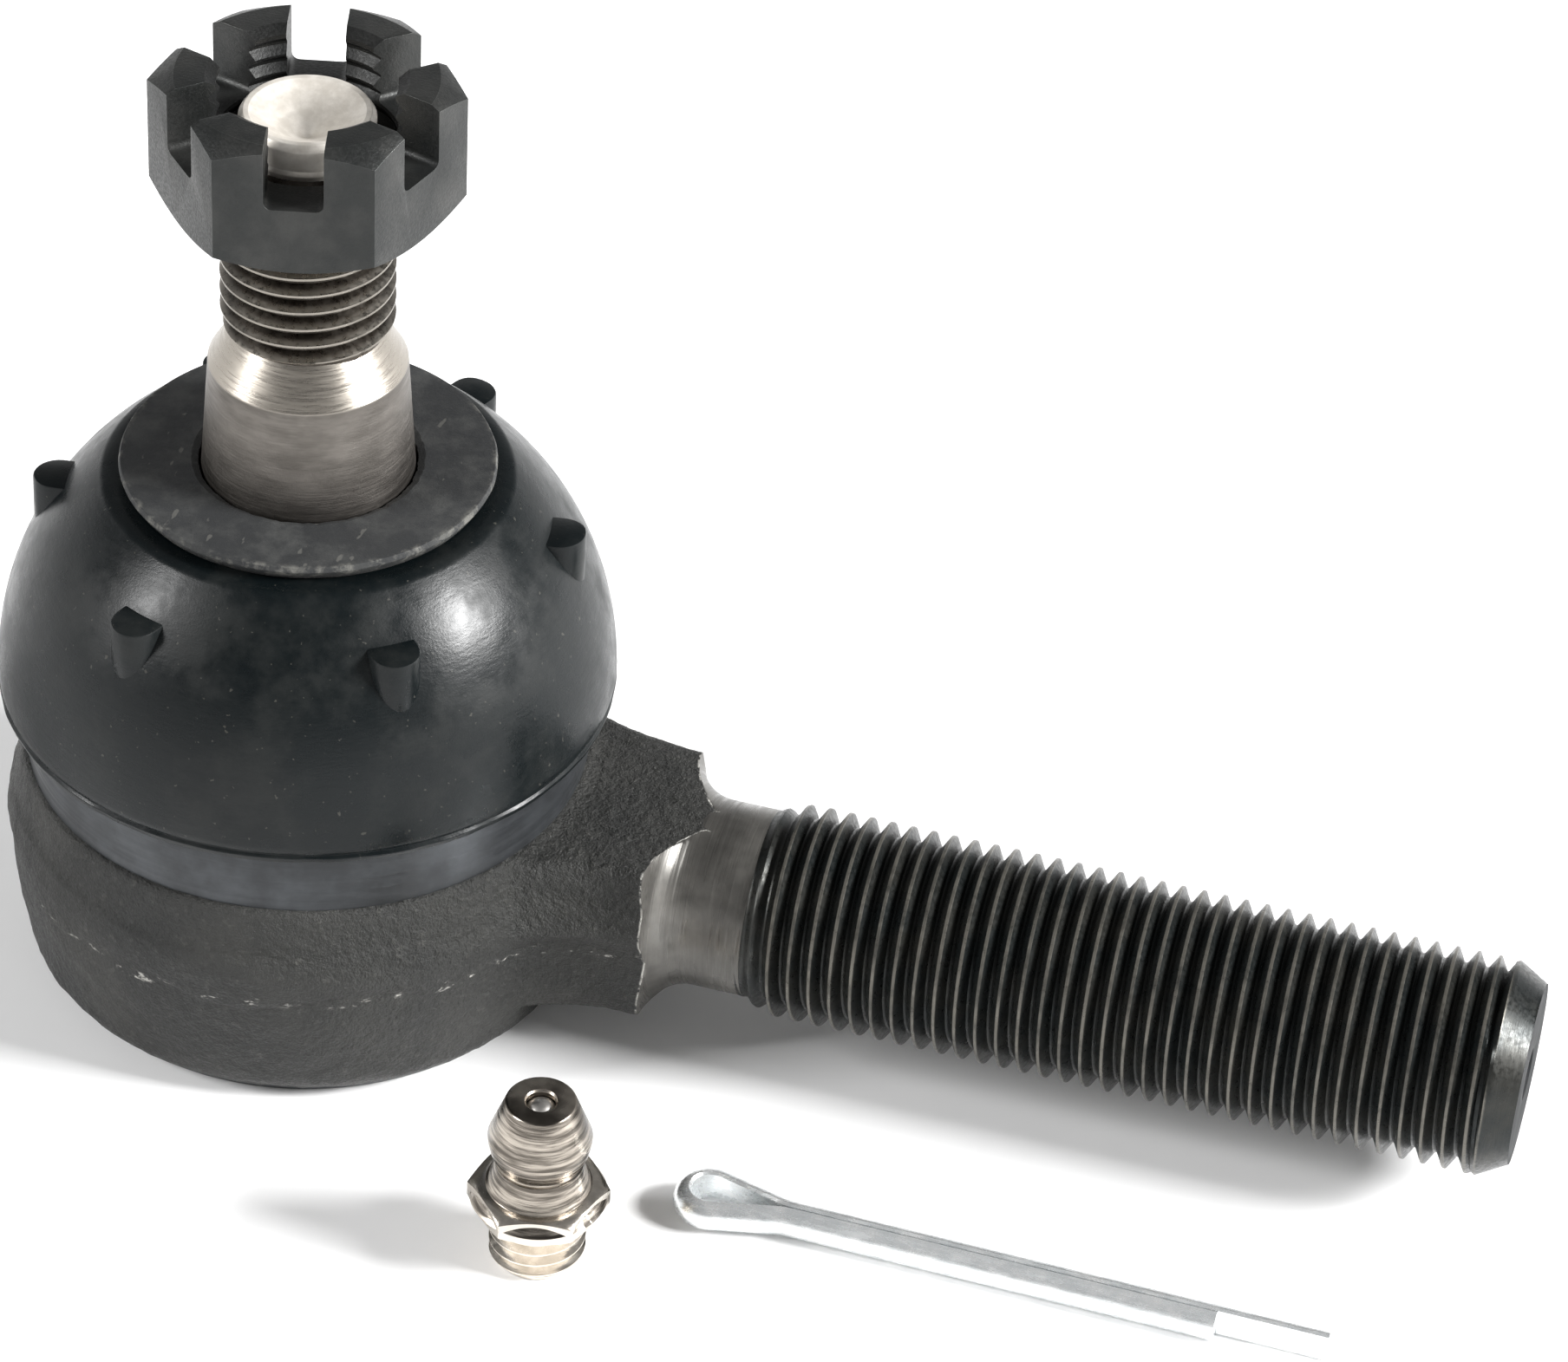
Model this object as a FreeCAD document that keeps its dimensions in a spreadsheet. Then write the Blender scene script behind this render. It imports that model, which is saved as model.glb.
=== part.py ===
import FreeCAD, Part
import math
import os

import Sketcher

# Outer tie rod end: a forged eye with a threaded stem, a ball stud with a castle nut, its bearings,
# boot and closure, and the loose grease fitting and cotter pin that come with it.
# Frame: origin at the ball's centre, +Z along the stud, +X along the stem, millimetres.

SIZES = [
    # forged housing and its stem
    ("floor_z", -10.4, "lowest face, the rolled rim under the closure plate"),
    ("forging_z", -9.8, "lower edge of the rough forging"),
    ("base_radius", 17.7, "outer radius of the rolled rim"),
    ("foot_radius", 18.9, "forging radius just above its lower edge"),
    ("eye_radius", 19.9, "widest radius of the rough eye"),
    ("foot_rise", 1.2, "height of the forging's drafted foot"),
    ("foot_round", 1.5, "round of the drafted foot"),
    ("eye_low_z", -1.5, "foot of the eye's widest part"),
    ("eye_high_z", 2.5, "top of the eye's widest part"),
    ("band_run", 0.5, "width of the run-out below the band"),
    ("band_drop", 0.6, "height of the run-out below the band"),
    ("crown_step", 0.6, "step from the boot groove to the crown"),
    ("block_start_y", 13.93, "half width of the shank block at the axis"),
    ("block_tail_x", 12.34, "where the shank block leaves the eye"),
    ("block_tail_y", 14.73, "half width where the block leaves the eye"),
    ("block_flare_x", 23.5, "where the block's sides become straight"),
    ("block_flare", 14.0, "radius between eye and block"),
    ("centre_depth", 3.6, "depth of the stem's centre hole"),
    ("centre_pilot", 3.2, "depth of its straight part"),
    ("centre_cone", 1.2, "depth of its countersink"),
    ("land_run", 0.2, "full crest before the first thread groove"),
    ("land_start", 0.7, "start of the slope up to the first crest"),
    ("stud_run", 0.6, "slope from the relief up to the stud's first crest"),
    ("stud_run_out", 0.5, "slope from the stud's last crest to the pilot"),
    ("tip_bevel", 0.4, "height of the bevel at the stud's tip"),
    ("fillet_reach", 8.0, "how far the turned fillet reaches outwards"),
    ("band_radius", 18.7, "machined band under the boot"),
    ("band_z", 6.3, "lower edge of the machined band"),
    ("lip_z", 11.65, "seat of the boot's lip"),
    ("groove_radius", 17.3, "floor of the boot groove"),
    ("groove_top_z", 13.4, "upper edge of the boot groove"),
    ("crown_z", 14.6, "top of the housing"),
    ("bore_radius", 14.1, "main bore, which holds both bearings"),
    ("roof_z", 5.5, "shoulder above the upper bearing"),
    ("mouth_radius", 8.6, "opening at the shoulder"),
    ("crown_mouth", 13.4, "opening at the top of the housing"),
    ("plate_radius", 14.9, "counterbore of the closure plate"),
    ("plate_top_z", -7.9, "inner face of the closure plate"),
    ("plate_z", -9.5, "outer face of the closure plate"),
    ("rim_mouth", 13.0, "inner radius of the rolled rim"),
    ("shank_half_y", 7.6, "half width of the forged shank block"),
    ("shank_half_z", 6.2, "half height of the forged shank block"),
    ("shank_end_x", 30.0, "where the shank block meets the turned neck"),
    ("neck_radius", 6.3, "turned neck between block and thread"),
    ("neck_fillet", 3.0, "turned fillet that cuts into the block"),
    ("neck_start_x", 28.4, "start of the plain neck"),
    ("stem_major", 7.144, "major radius of the stem thread"),
    ("stem_minor", 6.28, "root radius of the stem thread"),
    ("stem_pitch", 1.4111, "pitch of the stem thread"),
    ("stem_first_x", 32.6, "first crest of the stem thread"),
    ("stem_end_x", 83.5, "end face of the stem"),
    ("stem_chamfer", 2.0, "length of the stem's end chamfer"),
    ("stem_tip_radius", 6.0, "radius of the stem's end face"),
    ("centre_radius", 1.7, "mouth of the centre drilling"),
    ("crest_flat", 0.18, "flat width of a thread crest"),
    ("stem_grooves", 34, "thread grooves on the stem"),
    # ball stud
    ("ball_radius", 8.73, "radius of the ball"),
    ("ball_flat_z", -4.8, "flat under the ball"),
    ("stud_neck", 5.1, "radius of the neck above the ball"),
    ("neck_top_z", 12.5, "top of the plain neck"),
    ("taper_low_z", 20.0, "big end of the taper"),
    ("taper_top_z", 36.8, "small end of the taper"),
    ("taper_top_radius", 6.39, "radius at the small end of the taper"),
    ("taper_slope", 0.0625, "radius lost per millimetre of taper"),
    ("relief_z", 38.9, "thread relief above the taper's chamfer"),
    ("relief_radius", 4.95, "radius of the thread relief"),
    ("stud_major", 5.556, "major radius of the stud thread"),
    ("stud_minor", 4.78, "root radius of the stud thread"),
    ("stud_pitch", 1.27, "pitch of the stud thread"),
    ("stud_thread_z", 40.1, "start of the stud thread"),
    ("stud_thread_top_z", 52.6, "end of the stud thread"),
    ("pilot_radius", 4.3, "plain pilot above the thread"),
    ("stud_end_z", 55.4, "end face of the stud"),
    ("stud_tip_radius", 4.0, "radius of the end face"),
    ("dimple_radius", 3.65, "mouth of the driving dimple"),
    ("dimple_depth", 2.0, "depth of the driving dimple"),
    ("stud_grooves", 9, "thread grooves on the stud"),
    ("cotter_z", 50.9, "height of the cotter hole"),
    ("cotter_radius", 1.7, "radius of the cotter hole"),
    ("cotter_turn", 43.9, "direction of the cotter hole, degrees from +X"),
    # bearings, spring and closure
    ("seat_radius", 8.78, "spherical seats of both bearings"),
    ("bearing_radius", 14.05, "outer radius of both bearings"),
    ("upper_low_z", 0.05, "lower face of the upper bearing"),
    ("upper_top_z", 5.45, "upper face of the upper bearing"),
    ("seat_top_z", 4.0, "where the upper seat flares out"),
    ("lower_top_z", -0.1, "upper face of the lower bearing"),
    ("lower_low_z", -6.4, "lower face of the lower bearing"),
    ("spring_outer", 13.5, "outer radius of the conical preload spring"),
    ("spring_inner", 6.9, "inner radius of the conical preload spring"),
    ("spring_thick", 0.7, "thickness of the preload spring"),
    ("boss_radius", 4.2, "boss around the grease port"),
    ("boss_z", -6.7, "top of the grease port's boss"),
    ("port_radius", 2.75, "tapped grease port"),
    # boot and its seal ring
    ("boot_radius", 20.4, "widest radius of the boot, at its lip"),
    ("boot_top_z", 27.9, "top of the boot's dome"),
    ("boot_top_radius", 13.2, "radius at the top of the dome"),
    ("boot_curve", 20.2, "radius of the dome's curve"),
    ("boot_wall", 1.8, "wall of the boot"),
    ("boot_mouth", 9.1, "hole in the boot's top"),
    ("nub_count", 6, "moulded nubs round the dome"),
    ("lip_high", 0.9, "height of the boot's lip"),
    ("bead_depth", 0.9, "how far the boot's bead reaches into the groove"),
    ("bead_rise", 1.4, "slope from the bead to the inside of the dome"),
    ("wall_lean", 0.6, "share of the wall's thickness taken off its top"),
    ("nub_root", 14.0, "inner end of a nub, inside the boot's wall"),
    ("nub_centre", 16.6, "centre of a nub's half-round end from the axis"),
    ("nub_foot_z", 20.3, "foot of the nubs"),
    ("nub_top_z", 25.2, "flat top of the nubs"),
    ("nub_radius", 1.6, "half-round end of a nub"),
    ("nub_turn", 8.6, "direction of the first nub, degrees from +X"),
    ("ring_radius", 12.2, "outer radius of the seal ring's flange"),
    ("ring_top_z", 29.1, "top of the seal ring"),
    ("ring_flange", 1.1, "thickness of the seal ring's flange"),
    ("ring_hub", 9.0, "outer radius of the seal ring's hub"),
    ("ring_low_z", 24.5, "lower end of the seal ring's hub"),
    ("ring_gap", 0.08, "running gap between seal ring and stud"),
    # castle nut
    ("ring_bevel", 0.7, "bevel at the foot of the seal ring's hub"),
    ("ring_draft", 0.5, "how far the rim tapers in towards its foot"),
    ("ring_edge", 0.3, "small bevel at the rim's top edge"),
    ("slot_pairs", 3, "slots cut straight across the nut"),
    ("thread_clear", 0.1, "widening at the mouths of the nut's thread"),
    ("nut_flats", 17.15, "width across the nut's flats"),
    ("nut_low_z", 49.0, "seating face of the nut"),
    ("nut_high", 8.85, "height of the nut"),
    ("nut_turn", -106.1, "direction of the nut's first corner, degrees from +X"),
    ("nut_bevel_low", 8.5, "radius where the lower bevel starts"),
    ("nut_bevel_top", 8.2, "radius where the upper bevel starts"),
    ("slot_width", 3.7, "width of a nut slot"),
    ("slot_depth", 4.3, "depth of a nut slot"),
    ("nut_minor", 5.62, "crests of the nut's thread"),
    ("nut_major", 6.1, "roots of the nut's thread"),
    ("nut_grooves", 6, "thread grooves inside the nut"),
    # grease fitting, standing loose beside the eye
    ("fitting_x", 24.75, "place of the loose grease fitting"),
    ("fitting_y", -26.1, "place of the loose grease fitting"),
    ("fitting_major", 3.12, "major radius of the fitting's thread"),
    ("fitting_minor", 2.62, "root radius of the fitting's thread"),
    ("fitting_pitch", 0.907, "pitch of the fitting's thread"),
    ("fitting_flats", 7.94, "width across the fitting's flats"),
    ("hex_low", 4.4, "height of the hexagon's lower face"),
    ("hex_top", 6.3, "height of the hexagon's upper edge"),
    ("fitting_neck", 2.85, "radius of the neck under the head"),
    ("head_radius", 3.35, "widest radius of the fitting's head"),
    ("head_z", 10.3, "height where the head is widest"),
    ("head_flat", 2.25, "radius of the head's flat end"),
    ("fitting_high", 13.2, "height of the fitting"),
    ("fitting_turn", -106.0, "direction of the fitting's first corner, degrees from +X"),
    ("passage_radius", 1.3, "grease passage"),
    ("undercut", 0.3, "height of the undercut below the hexagon"),
    ("collar_lean", 0.2, "lean of the round collar inside the hexagon"),
    ("flare_gap", 0.1, "step between flare and neck"),
    ("flare_high", 1.7, "height of the flare above the hexagon"),
    ("flare_radius", 3.2, "radius of the concave flare"),
    ("hex_clear", 0.02, "how far the hexagon's bevel starts inside its flats"),
    ("fitting_grooves", 4, "thread grooves of the fitting"),
    ("seat_depth", 1.0, "depth of the check ball's seat below the top"),
    ("retainer_z", 0.3, "foot of the spring retainer"),
    ("check_mouth", 0.95, "hole above the check ball"),
    ("check_radius", 1.19, "radius of the check ball"),
    ("check_z", 11.9, "height of the check ball's centre"),
    ("coil_radius", 0.95, "mean radius of the check spring"),
    ("coil_wire", 0.14, "wire radius of the check spring"),
    ("coil_pitch", 1.1, "pitch of the check spring"),
    ("coil_low", 1.0, "height where the check spring starts"),
    ("coil_high", 9.5, "length of the check spring"),
    ("retainer_high", 0.5, "thickness of the spring retainer"),
    ("retainer_hole", 0.5, "hole in the spring retainer"),
    # cotter pin, lying loose beside the stem
    ("pin_x", 34.2, "place of the cotter pin's eye"),
    ("pin_y", -18.95, "place of the cotter pin's eye"),
    ("pin_turn", -0.8, "direction of the cotter pin, degrees from +X"),
    ("wire_radius", 1.15, "radius of the half-round wire"),
    ("pin_eye", 1.25, "inner radius of the pin's eye"),
    ("pin_close", 5.2, "distance from the eye to where its sides would cross"),
    ("pin_bend", 5.0, "bend radius where the legs close"),
    ("pin_gap", 0.04, "half the gap between the legs"),
    ("short_leg", 33.85, "length of the short leg"),
    ("long_leg", 41.1, "length of the long leg"),
    ("overrun", 1.0, "how far a cutting profile runs past the solid"),
    ("running_gap", 0.05, "play between pieces that touch"),
    ("tooth_clear", 0.03, "how far a thread groove's profile runs past the crests"),
    ("lead_in", 0.4, "chamfer at a thread's mouth"),
]

doc = FreeCAD.newDocument("tie_rod_end")
sheet = doc.addObject("Spreadsheet::Sheet", "sizes")
parts = []


def fill_sheet():
    """Write every driving size, its name and its meaning into the spreadsheet."""
    for row, (name, value, meaning) in enumerate(SIZES, start=1):
        sheet.set(f"A{row}", meaning)
        sheet.set(f"B{row}", str(value))
        sheet.setAlias(f"B{row}", name)
    doc.recompute()


def named(formula):
    """Put the sheet's name before each alias in a formula."""
    out, word = "", ""
    for sign in str(formula) + " ":
        if sign.isalnum() or sign == "_":
            word += sign
            continue
        out += f"sizes.{word}" if word in ALIASES else word
        out += sign
        word = ""
    return out.strip()


def value(formula):
    """Work out a formula of spreadsheet names."""
    result = sheet.evalExpression(named(formula))
    return float(getattr(result, "Value", result))


def bind(thing, prop, formula):
    """Drive one property of an object from the spreadsheet."""
    thing.setExpression(prop, named(formula))


def new_body(label):
    """Start one physical piece as a body of its own."""
    body = doc.addObject("PartDesign::Body", label)
    body.Label = label
    parts.append(body)
    return body


def origin_plane(body, role):
    """Find one of a body's own origin planes."""
    return next(item for item in body.Origin.OriginFeatures if item.Role == role)


def new_sketch(body, name, role="XZ_Plane", height=None):
    """Attach an empty sketch to an origin plane, lifted by a formula where one is given."""
    sketch = body.newObject("Sketcher::SketchObject", name)
    sketch.AttachmentSupport = [(origin_plane(body, role), "")]
    sketch.MapMode = "FlatFace"
    if height is not None:
        bind(sketch, "AttachmentOffset.Base.z", height)
    return sketch


def pin_vertex(sketch, index, place, corner, tag):
    """Hold an edge's end at a place given by two formulas."""
    for axis, formula in zip("XY", corner):
        name = f"{tag}_{axis.lower()}"
        kind = "Distance" + axis
        sketch.addConstraint(Sketcher.Constraint(kind, -1, 1, index, place, value(formula)))
        sketch.renameConstraint(sketch.ConstraintCount - 1, name)
        bind(sketch, f"Constraints.{name}", formula)


def arc_edge(start, end, radius, turn):
    """Make a short arc between two points; turn is 1 for anticlockwise, -1 for clockwise."""
    middle = (start + end) * 0.5
    half = (end - start).Length / 2
    reach = math.sqrt(max(radius ** 2 - half ** 2, 0.0))
    along = (end - start).normalize()
    side = FreeCAD.Vector(-along.y, along.x, 0)
    bulge = middle - side * (turn * (radius - reach))
    return Part.Arc(start, bulge, end)


def outline(sketch, corners):
    """Close a profile of lines and arcs.

    A corner is (x, y) for a straight edge that ends there, or (x, y, radius, turn) for an arc.
    """
    points = [FreeCAD.Vector(value(item[0]), value(item[1]), 0) for item in corners]
    for index, corner in enumerate(corners):
        start, end = points[index - 1], points[index]
        if len(corner) == 2:
            sketch.addGeometry(Part.LineSegment(start, end), False)
            continue
        radius, turn = corner[2:]
        sketch.addGeometry(arc_edge(start, end, value(radius), turn), False)
    for index, corner in enumerate(corners):
        link_edges(sketch, corners, index)
        pin_vertex(sketch, index, end_place(corner), corner[:2], f"corner{index}")
        if len(corner) > 2:
            sketch.addConstraint(Sketcher.Constraint("Radius", index, value(corner[2])))
            sketch.renameConstraint(sketch.ConstraintCount - 1, f"arc{index}")
            bind(sketch, f"Constraints.arc{index}", corner[2])
    return sketch


def end_place(corner):
    """Tell which of an edge's two stored ends is its last one; clockwise arcs are stored reversed."""
    return 1 if len(corner) > 2 and corner[3] < 0 else 2


def start_place(corner):
    """Tell which of an edge's two stored ends is its first one."""
    return 3 - end_place(corner)


def link_edges(sketch, corners, index):
    """Join an edge's start to the end of the edge before it."""
    before = index - 1 if index else len(corners) - 1
    sketch.addConstraint(Sketcher.Constraint(
        "Coincident", before, end_place(corners[before]), index, start_place(corners[index])))


def turned(body, name, corners, cutting=False, axis="V_Axis"):
    """Add or cut a full turn of a profile drawn on the XZ plane, and check that it did something."""
    before = body.Shape.Volume if body.Tip else 0.0
    sketch = outline(new_sketch(body, name + "_profile"), corners)
    kind = "PartDesign::Groove" if cutting else "PartDesign::Revolution"
    feature = body.newObject(kind, name)
    feature.Profile = sketch
    feature.ReferenceAxis = (sketch, [axis])
    feature.Angle = 360
    doc.recompute()
    check_change(body, name, before, cutting)
    return feature


def padded(body, name, sketch, length, both_ways=False):
    """Pad a sketch by a formula."""
    pad = body.newObject("PartDesign::Pad", name)
    pad.Profile = sketch
    pad.Midplane = both_ways
    bind(pad, "Length", length)
    doc.recompute()
    return pad


def check_change(body, name, before, cutting):
    """Stop when a feature changed nothing, or changed the body the wrong way."""
    change = body.Shape.Volume - before
    if change == 0 or (change > 0) == cutting:
        raise RuntimeError(f"{body.Label}: {name} changed the volume by {change:.3f}")


def repeated(body, name, feature, axis_role, pitch, count):
    """Repeat a feature in a row along an origin axis."""
    before = body.Shape.Volume
    row = body.newObject("PartDesign::LinearPattern", name)
    row.Originals = [feature]
    row.Direction = (origin_plane(body, axis_role), [""])
    bind(row, "Occurrences", count)
    bind(row, "Length", f"{pitch} * ({count} - 1)")
    body.Tip = row
    doc.recompute()
    check_change(body, name, before, feature.TypeId == "PartDesign::Groove")
    return row


def around(body, name, feature, count):
    """Repeat a feature round the Z axis."""
    before = body.Shape.Volume
    ring = body.newObject("PartDesign::PolarPattern", name)
    ring.Originals = [feature]
    ring.Axis = (origin_plane(body, "Z_Axis"), [""])
    ring.Angle = 360
    bind(ring, "Occurrences", count)
    body.Tip = ring
    doc.recompute()
    check_change(body, name, before, feature.TypeId == "PartDesign::Pocket")
    return ring


def thread_tooth(along, centre, major, minor):
    """Outline one 60 degree thread groove: along the axis at centre, from minor to past major."""
    root = "crest_flat / 2"
    half = f"{root} + ({major} - {minor}) * tan(30)"
    past = f"{major} + tooth_clear"
    corners = [(f"{centre} - {root}", minor), (f"{centre} + {root}", minor),
               (f"{centre} + {half}", major), (f"{centre} + {half}", past),
               (f"{centre} - ({half})", past), (f"{centre} - ({half})", major)]
    if along == "x":
        return corners
    return [(radius, place) for place, radius in corners]


def swung(x, y, turn):
    """A point given by two formulas, turned about the origin by a third."""
    return f"{x} * cos({turn}) - {y} * sin({turn})", f"{x} * sin({turn}) + {y} * cos({turn})"


def hexagon(flats, turn):
    """Corners of a hexagon whose first corner points along turn."""
    corner = f"{flats} / 2 / cos(30)"
    angles = [f"({turn} + {step * 60})" for step in range(6)]
    return [(f"{corner} * cos({angle})", f"{corner} * sin({angle})") for angle in angles]


def make_housing():
    """Forged eye with its shank block, turned neck, threaded stem, bore and rolled rim."""
    body = new_body("housing")
    turned(body, "eye", [
        (0, "floor_z"), ("base_radius", "floor_z"), ("base_radius", "forging_z"),
        ("foot_radius", "forging_z + foot_rise", "foot_round", 1), ("eye_radius", "eye_low_z"),
        ("eye_radius", "eye_high_z"),
        ("band_radius + band_run", "band_z - band_drop"), ("band_radius", "band_z"),
        ("band_radius", "lip_z"),
        ("groove_radius", "lip_z"), ("groove_radius", "groove_top_z"),
        ("groove_radius + crown_step", "groove_top_z"), ("groove_radius + crown_step", "crown_z"),
        (0, "crown_z")])
    block = outline(new_sketch(body, "shank_outline", "XY_Plane"), [
        (0, "0 - block_start_y"), ("block_tail_x", "0 - block_tail_y"),
        ("block_flare_x", "0 - shank_half_y", "block_flare", -1), ("shank_end_x", "0 - shank_half_y"),
        ("shank_end_x", "shank_half_y"), ("block_flare_x", "shank_half_y"),
        ("block_tail_x", "block_tail_y", "block_flare", -1), (0, "block_start_y")])
    padded(body, "shank_block", block, "shank_half_z * 2", both_ways=True)
    turned(body, "turned_fillet", [
        ("neck_start_x", "neck_radius", "neck_fillet", 1), ("shank_end_x + overrun", "neck_radius"),
        ("shank_end_x + overrun", "neck_radius + fillet_reach"),
        ("neck_start_x - neck_fillet", "neck_radius + fillet_reach"),
        ("neck_start_x - neck_fillet", "neck_radius + neck_fillet")], cutting=True, axis="H_Axis")
    turned(body, "stem", [
        ("eye_radius", 0), ("stem_end_x - centre_depth", 0),
        ("stem_end_x - centre_pilot", "centre_radius / 2"),
        ("stem_end_x - centre_cone", "centre_radius / 2"), ("stem_end_x", "centre_radius"),
        ("stem_end_x", "stem_tip_radius"), ("stem_end_x - stem_chamfer", "stem_major"),
        ("stem_first_x - land_run", "stem_major"), ("stem_first_x - land_start", "neck_radius"),
        ("eye_radius", "neck_radius")], axis="H_Axis")
    tooth = turned(body, "stem_thread_groove", thread_tooth(
        "x", "(stem_first_x + stem_pitch / 2)", "stem_major", "stem_minor"), cutting=True, axis="H_Axis")
    repeated(body, "stem_thread", tooth, "X_Axis", "stem_pitch", "stem_grooves")
    turned(body, "bore", [
        (0, "floor_z - overrun"), ("rim_mouth", "floor_z - overrun"), ("rim_mouth", "plate_z"),
        ("plate_radius", "plate_z"), ("plate_radius", "plate_top_z"), ("bore_radius", "plate_top_z"),
        ("bore_radius", "roof_z"), ("mouth_radius", "roof_z"), ("crown_mouth", "crown_z"),
        ("crown_mouth", "crown_z + overrun"), (0, "crown_z + overrun")], cutting=True)


def make_ball_stud():
    """Truncated ball, neck, 1 in 8 taper, thread relief, thread, pilot and driving dimple."""
    body = new_body("ball_stud")
    flat = "sqrt(ball_radius ^ 2 - ball_flat_z ^ 2)"
    neck = "sqrt(ball_radius ^ 2 - stud_neck ^ 2)"
    big_end = "taper_top_radius + (taper_top_z - taper_low_z) * taper_slope"
    turned(body, "stud", [
        (0, "ball_flat_z"), (flat, "ball_flat_z"), ("stud_neck", neck, "ball_radius", 1),
        ("stud_neck", "neck_top_z"), (big_end, "taper_low_z"), ("taper_top_radius", "taper_top_z"),
        ("relief_radius", "relief_z"), ("relief_radius", "stud_thread_z - stud_run"),
        ("stud_major", "stud_thread_z"), ("stud_major", "stud_thread_top_z"),
        ("pilot_radius", "stud_thread_top_z + stud_run_out"), ("pilot_radius", "stud_end_z - tip_bevel"),
        ("stud_tip_radius", "stud_end_z"), ("dimple_radius", "stud_end_z"),
        (0, "stud_end_z - dimple_depth")])
    tooth = turned(body, "stud_thread_groove", thread_tooth(
        "z", "(stud_thread_z + stud_pitch / 2)", "stud_major", "stud_minor"), cutting=True)
    repeated(body, "stud_thread", tooth, "Z_Axis", "stud_pitch", "stud_grooves")
    drill_cotter_hole(body)


def drill_cotter_hole(body):
    """Cross hole for the cotter pin, lined up with a pair of nut slots."""
    before = body.Shape.Volume
    sketch = new_sketch(body, "cotter_circle", "XZ_Plane")
    sketch.AttachmentOffset = FreeCAD.Placement(
        FreeCAD.Vector(), FreeCAD.Rotation(FreeCAD.Vector(0, 1, 0), value("cotter_turn + 90")))
    bind(sketch, "AttachmentOffset.Base.y", "cotter_z")
    bind(sketch, "AttachmentOffset.Rotation.Angle", "cotter_turn + 90")
    sketch.addGeometry(Part.Circle(FreeCAD.Vector(), FreeCAD.Vector(0, 0, 1), value("cotter_radius")))
    sketch.addConstraint(Sketcher.Constraint("Coincident", 0, 3, -1, 1))
    sketch.addConstraint(Sketcher.Constraint("Radius", 0, value("cotter_radius")))
    bind(sketch, "Constraints[1]", "cotter_radius")
    hole = body.newObject("PartDesign::Pocket", "cotter_hole")
    hole.Profile = sketch
    hole.Midplane = True
    bind(hole, "Length", "stud_major * 4")
    doc.recompute()
    check_change(body, "cotter_hole", before, True)


def make_bearings():
    """Upper and lower bearing rings with spherical seats, and the conical spring below them."""
    upper = new_body("upper_bearing")
    low_seat = "sqrt(seat_radius ^ 2 - upper_low_z ^ 2)"
    top_seat = "sqrt(seat_radius ^ 2 - seat_top_z ^ 2)"
    turned(upper, "ring", [
        (low_seat, "upper_low_z", "seat_radius", -1), ("bearing_radius", "upper_low_z"),
        ("bearing_radius", "upper_top_z"), ("mouth_radius", "upper_top_z"), (top_seat, "seat_top_z")])
    lower = new_body("lower_bearing")
    high_seat = "sqrt(seat_radius ^ 2 - lower_top_z ^ 2)"
    hole = "sqrt(seat_radius ^ 2 - lower_low_z ^ 2)"
    turned(lower, "cup", [
        (hole, "lower_low_z", "seat_radius", -1), ("bearing_radius", "lower_low_z"),
        ("bearing_radius", "lower_top_z"), (high_seat, "lower_top_z")])
    spring = new_body("preload_spring")
    foot = "plate_top_z + running_gap"
    crest = "lower_low_z - running_gap"
    turned(spring, "cone", [
        ("spring_outer", foot), ("spring_outer", f"{foot} + spring_thick"),
        ("spring_inner", crest), ("spring_inner", f"{crest} - spring_thick")])


def make_cover_plate():
    """Closure plate under the spring, with the boss of the tapped grease port."""
    body = new_body("cover_plate")
    turned(body, "plate", [
        ("port_radius", "plate_z"), ("plate_radius - running_gap", "plate_z"),
        ("plate_radius - running_gap", "plate_top_z"), ("boss_radius", "plate_top_z"),
        ("boss_radius", "boss_z"), ("port_radius", "boss_z")])


def dome(inset):
    """Last corner of the dome's curve, moved inwards by a formula."""
    return (f"boot_top_radius - ({inset})", f"boot_top_z - ({inset}) * wall_lean",
            f"boot_curve - ({inset})", 1)


def nub_outline():
    """Half-round end of a nub with straight sides running back into the boot's wall."""
    half = "nub_radius"
    tip = f"(nub_centre + {half})"
    return [swung("nub_root", f"(0 - {half})", "nub_turn"), swung("nub_centre", f"(0 - {half})", "nub_turn"),
            swung(tip, "0", "nub_turn") + (half, 1), swung("nub_centre", half, "nub_turn") + (half, 1),
            swung("nub_root", half, "nub_turn")]


def make_dust_boot():
    """Domed rubber boot: a bead in the housing's groove, six nubs and an open top."""
    body = new_body("dust_boot")
    turned(body, "dome", [
        (0, "lip_z + running_gap"), ("boot_radius", "lip_z + running_gap"),
        ("boot_radius - running_gap", "lip_z + lip_high"), dome("0"), (0, "boot_top_z")])
    sketch = outline(new_sketch(body, "nub_outline", "XY_Plane", "nub_foot_z"), nub_outline())
    nub = padded(body, "nub", sketch, "nub_top_z - nub_foot_z")
    around(body, "nubs", nub, "nub_count")
    turned(body, "inside", [
        (0, "lip_z - overrun"), ("groove_radius + running_gap", "lip_z - overrun"),
        ("groove_radius + running_gap", "groove_top_z - running_gap"),
        ("groove_radius + bead_depth", "groove_top_z - running_gap"),
        ("boot_radius - boot_wall", "groove_top_z + bead_rise"), dome("boot_wall"),
        ("boot_mouth", "boot_top_z - boot_wall"), ("boot_mouth", "boot_top_z + overrun"),
        (0, "boot_top_z + overrun")], cutting=True)


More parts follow.
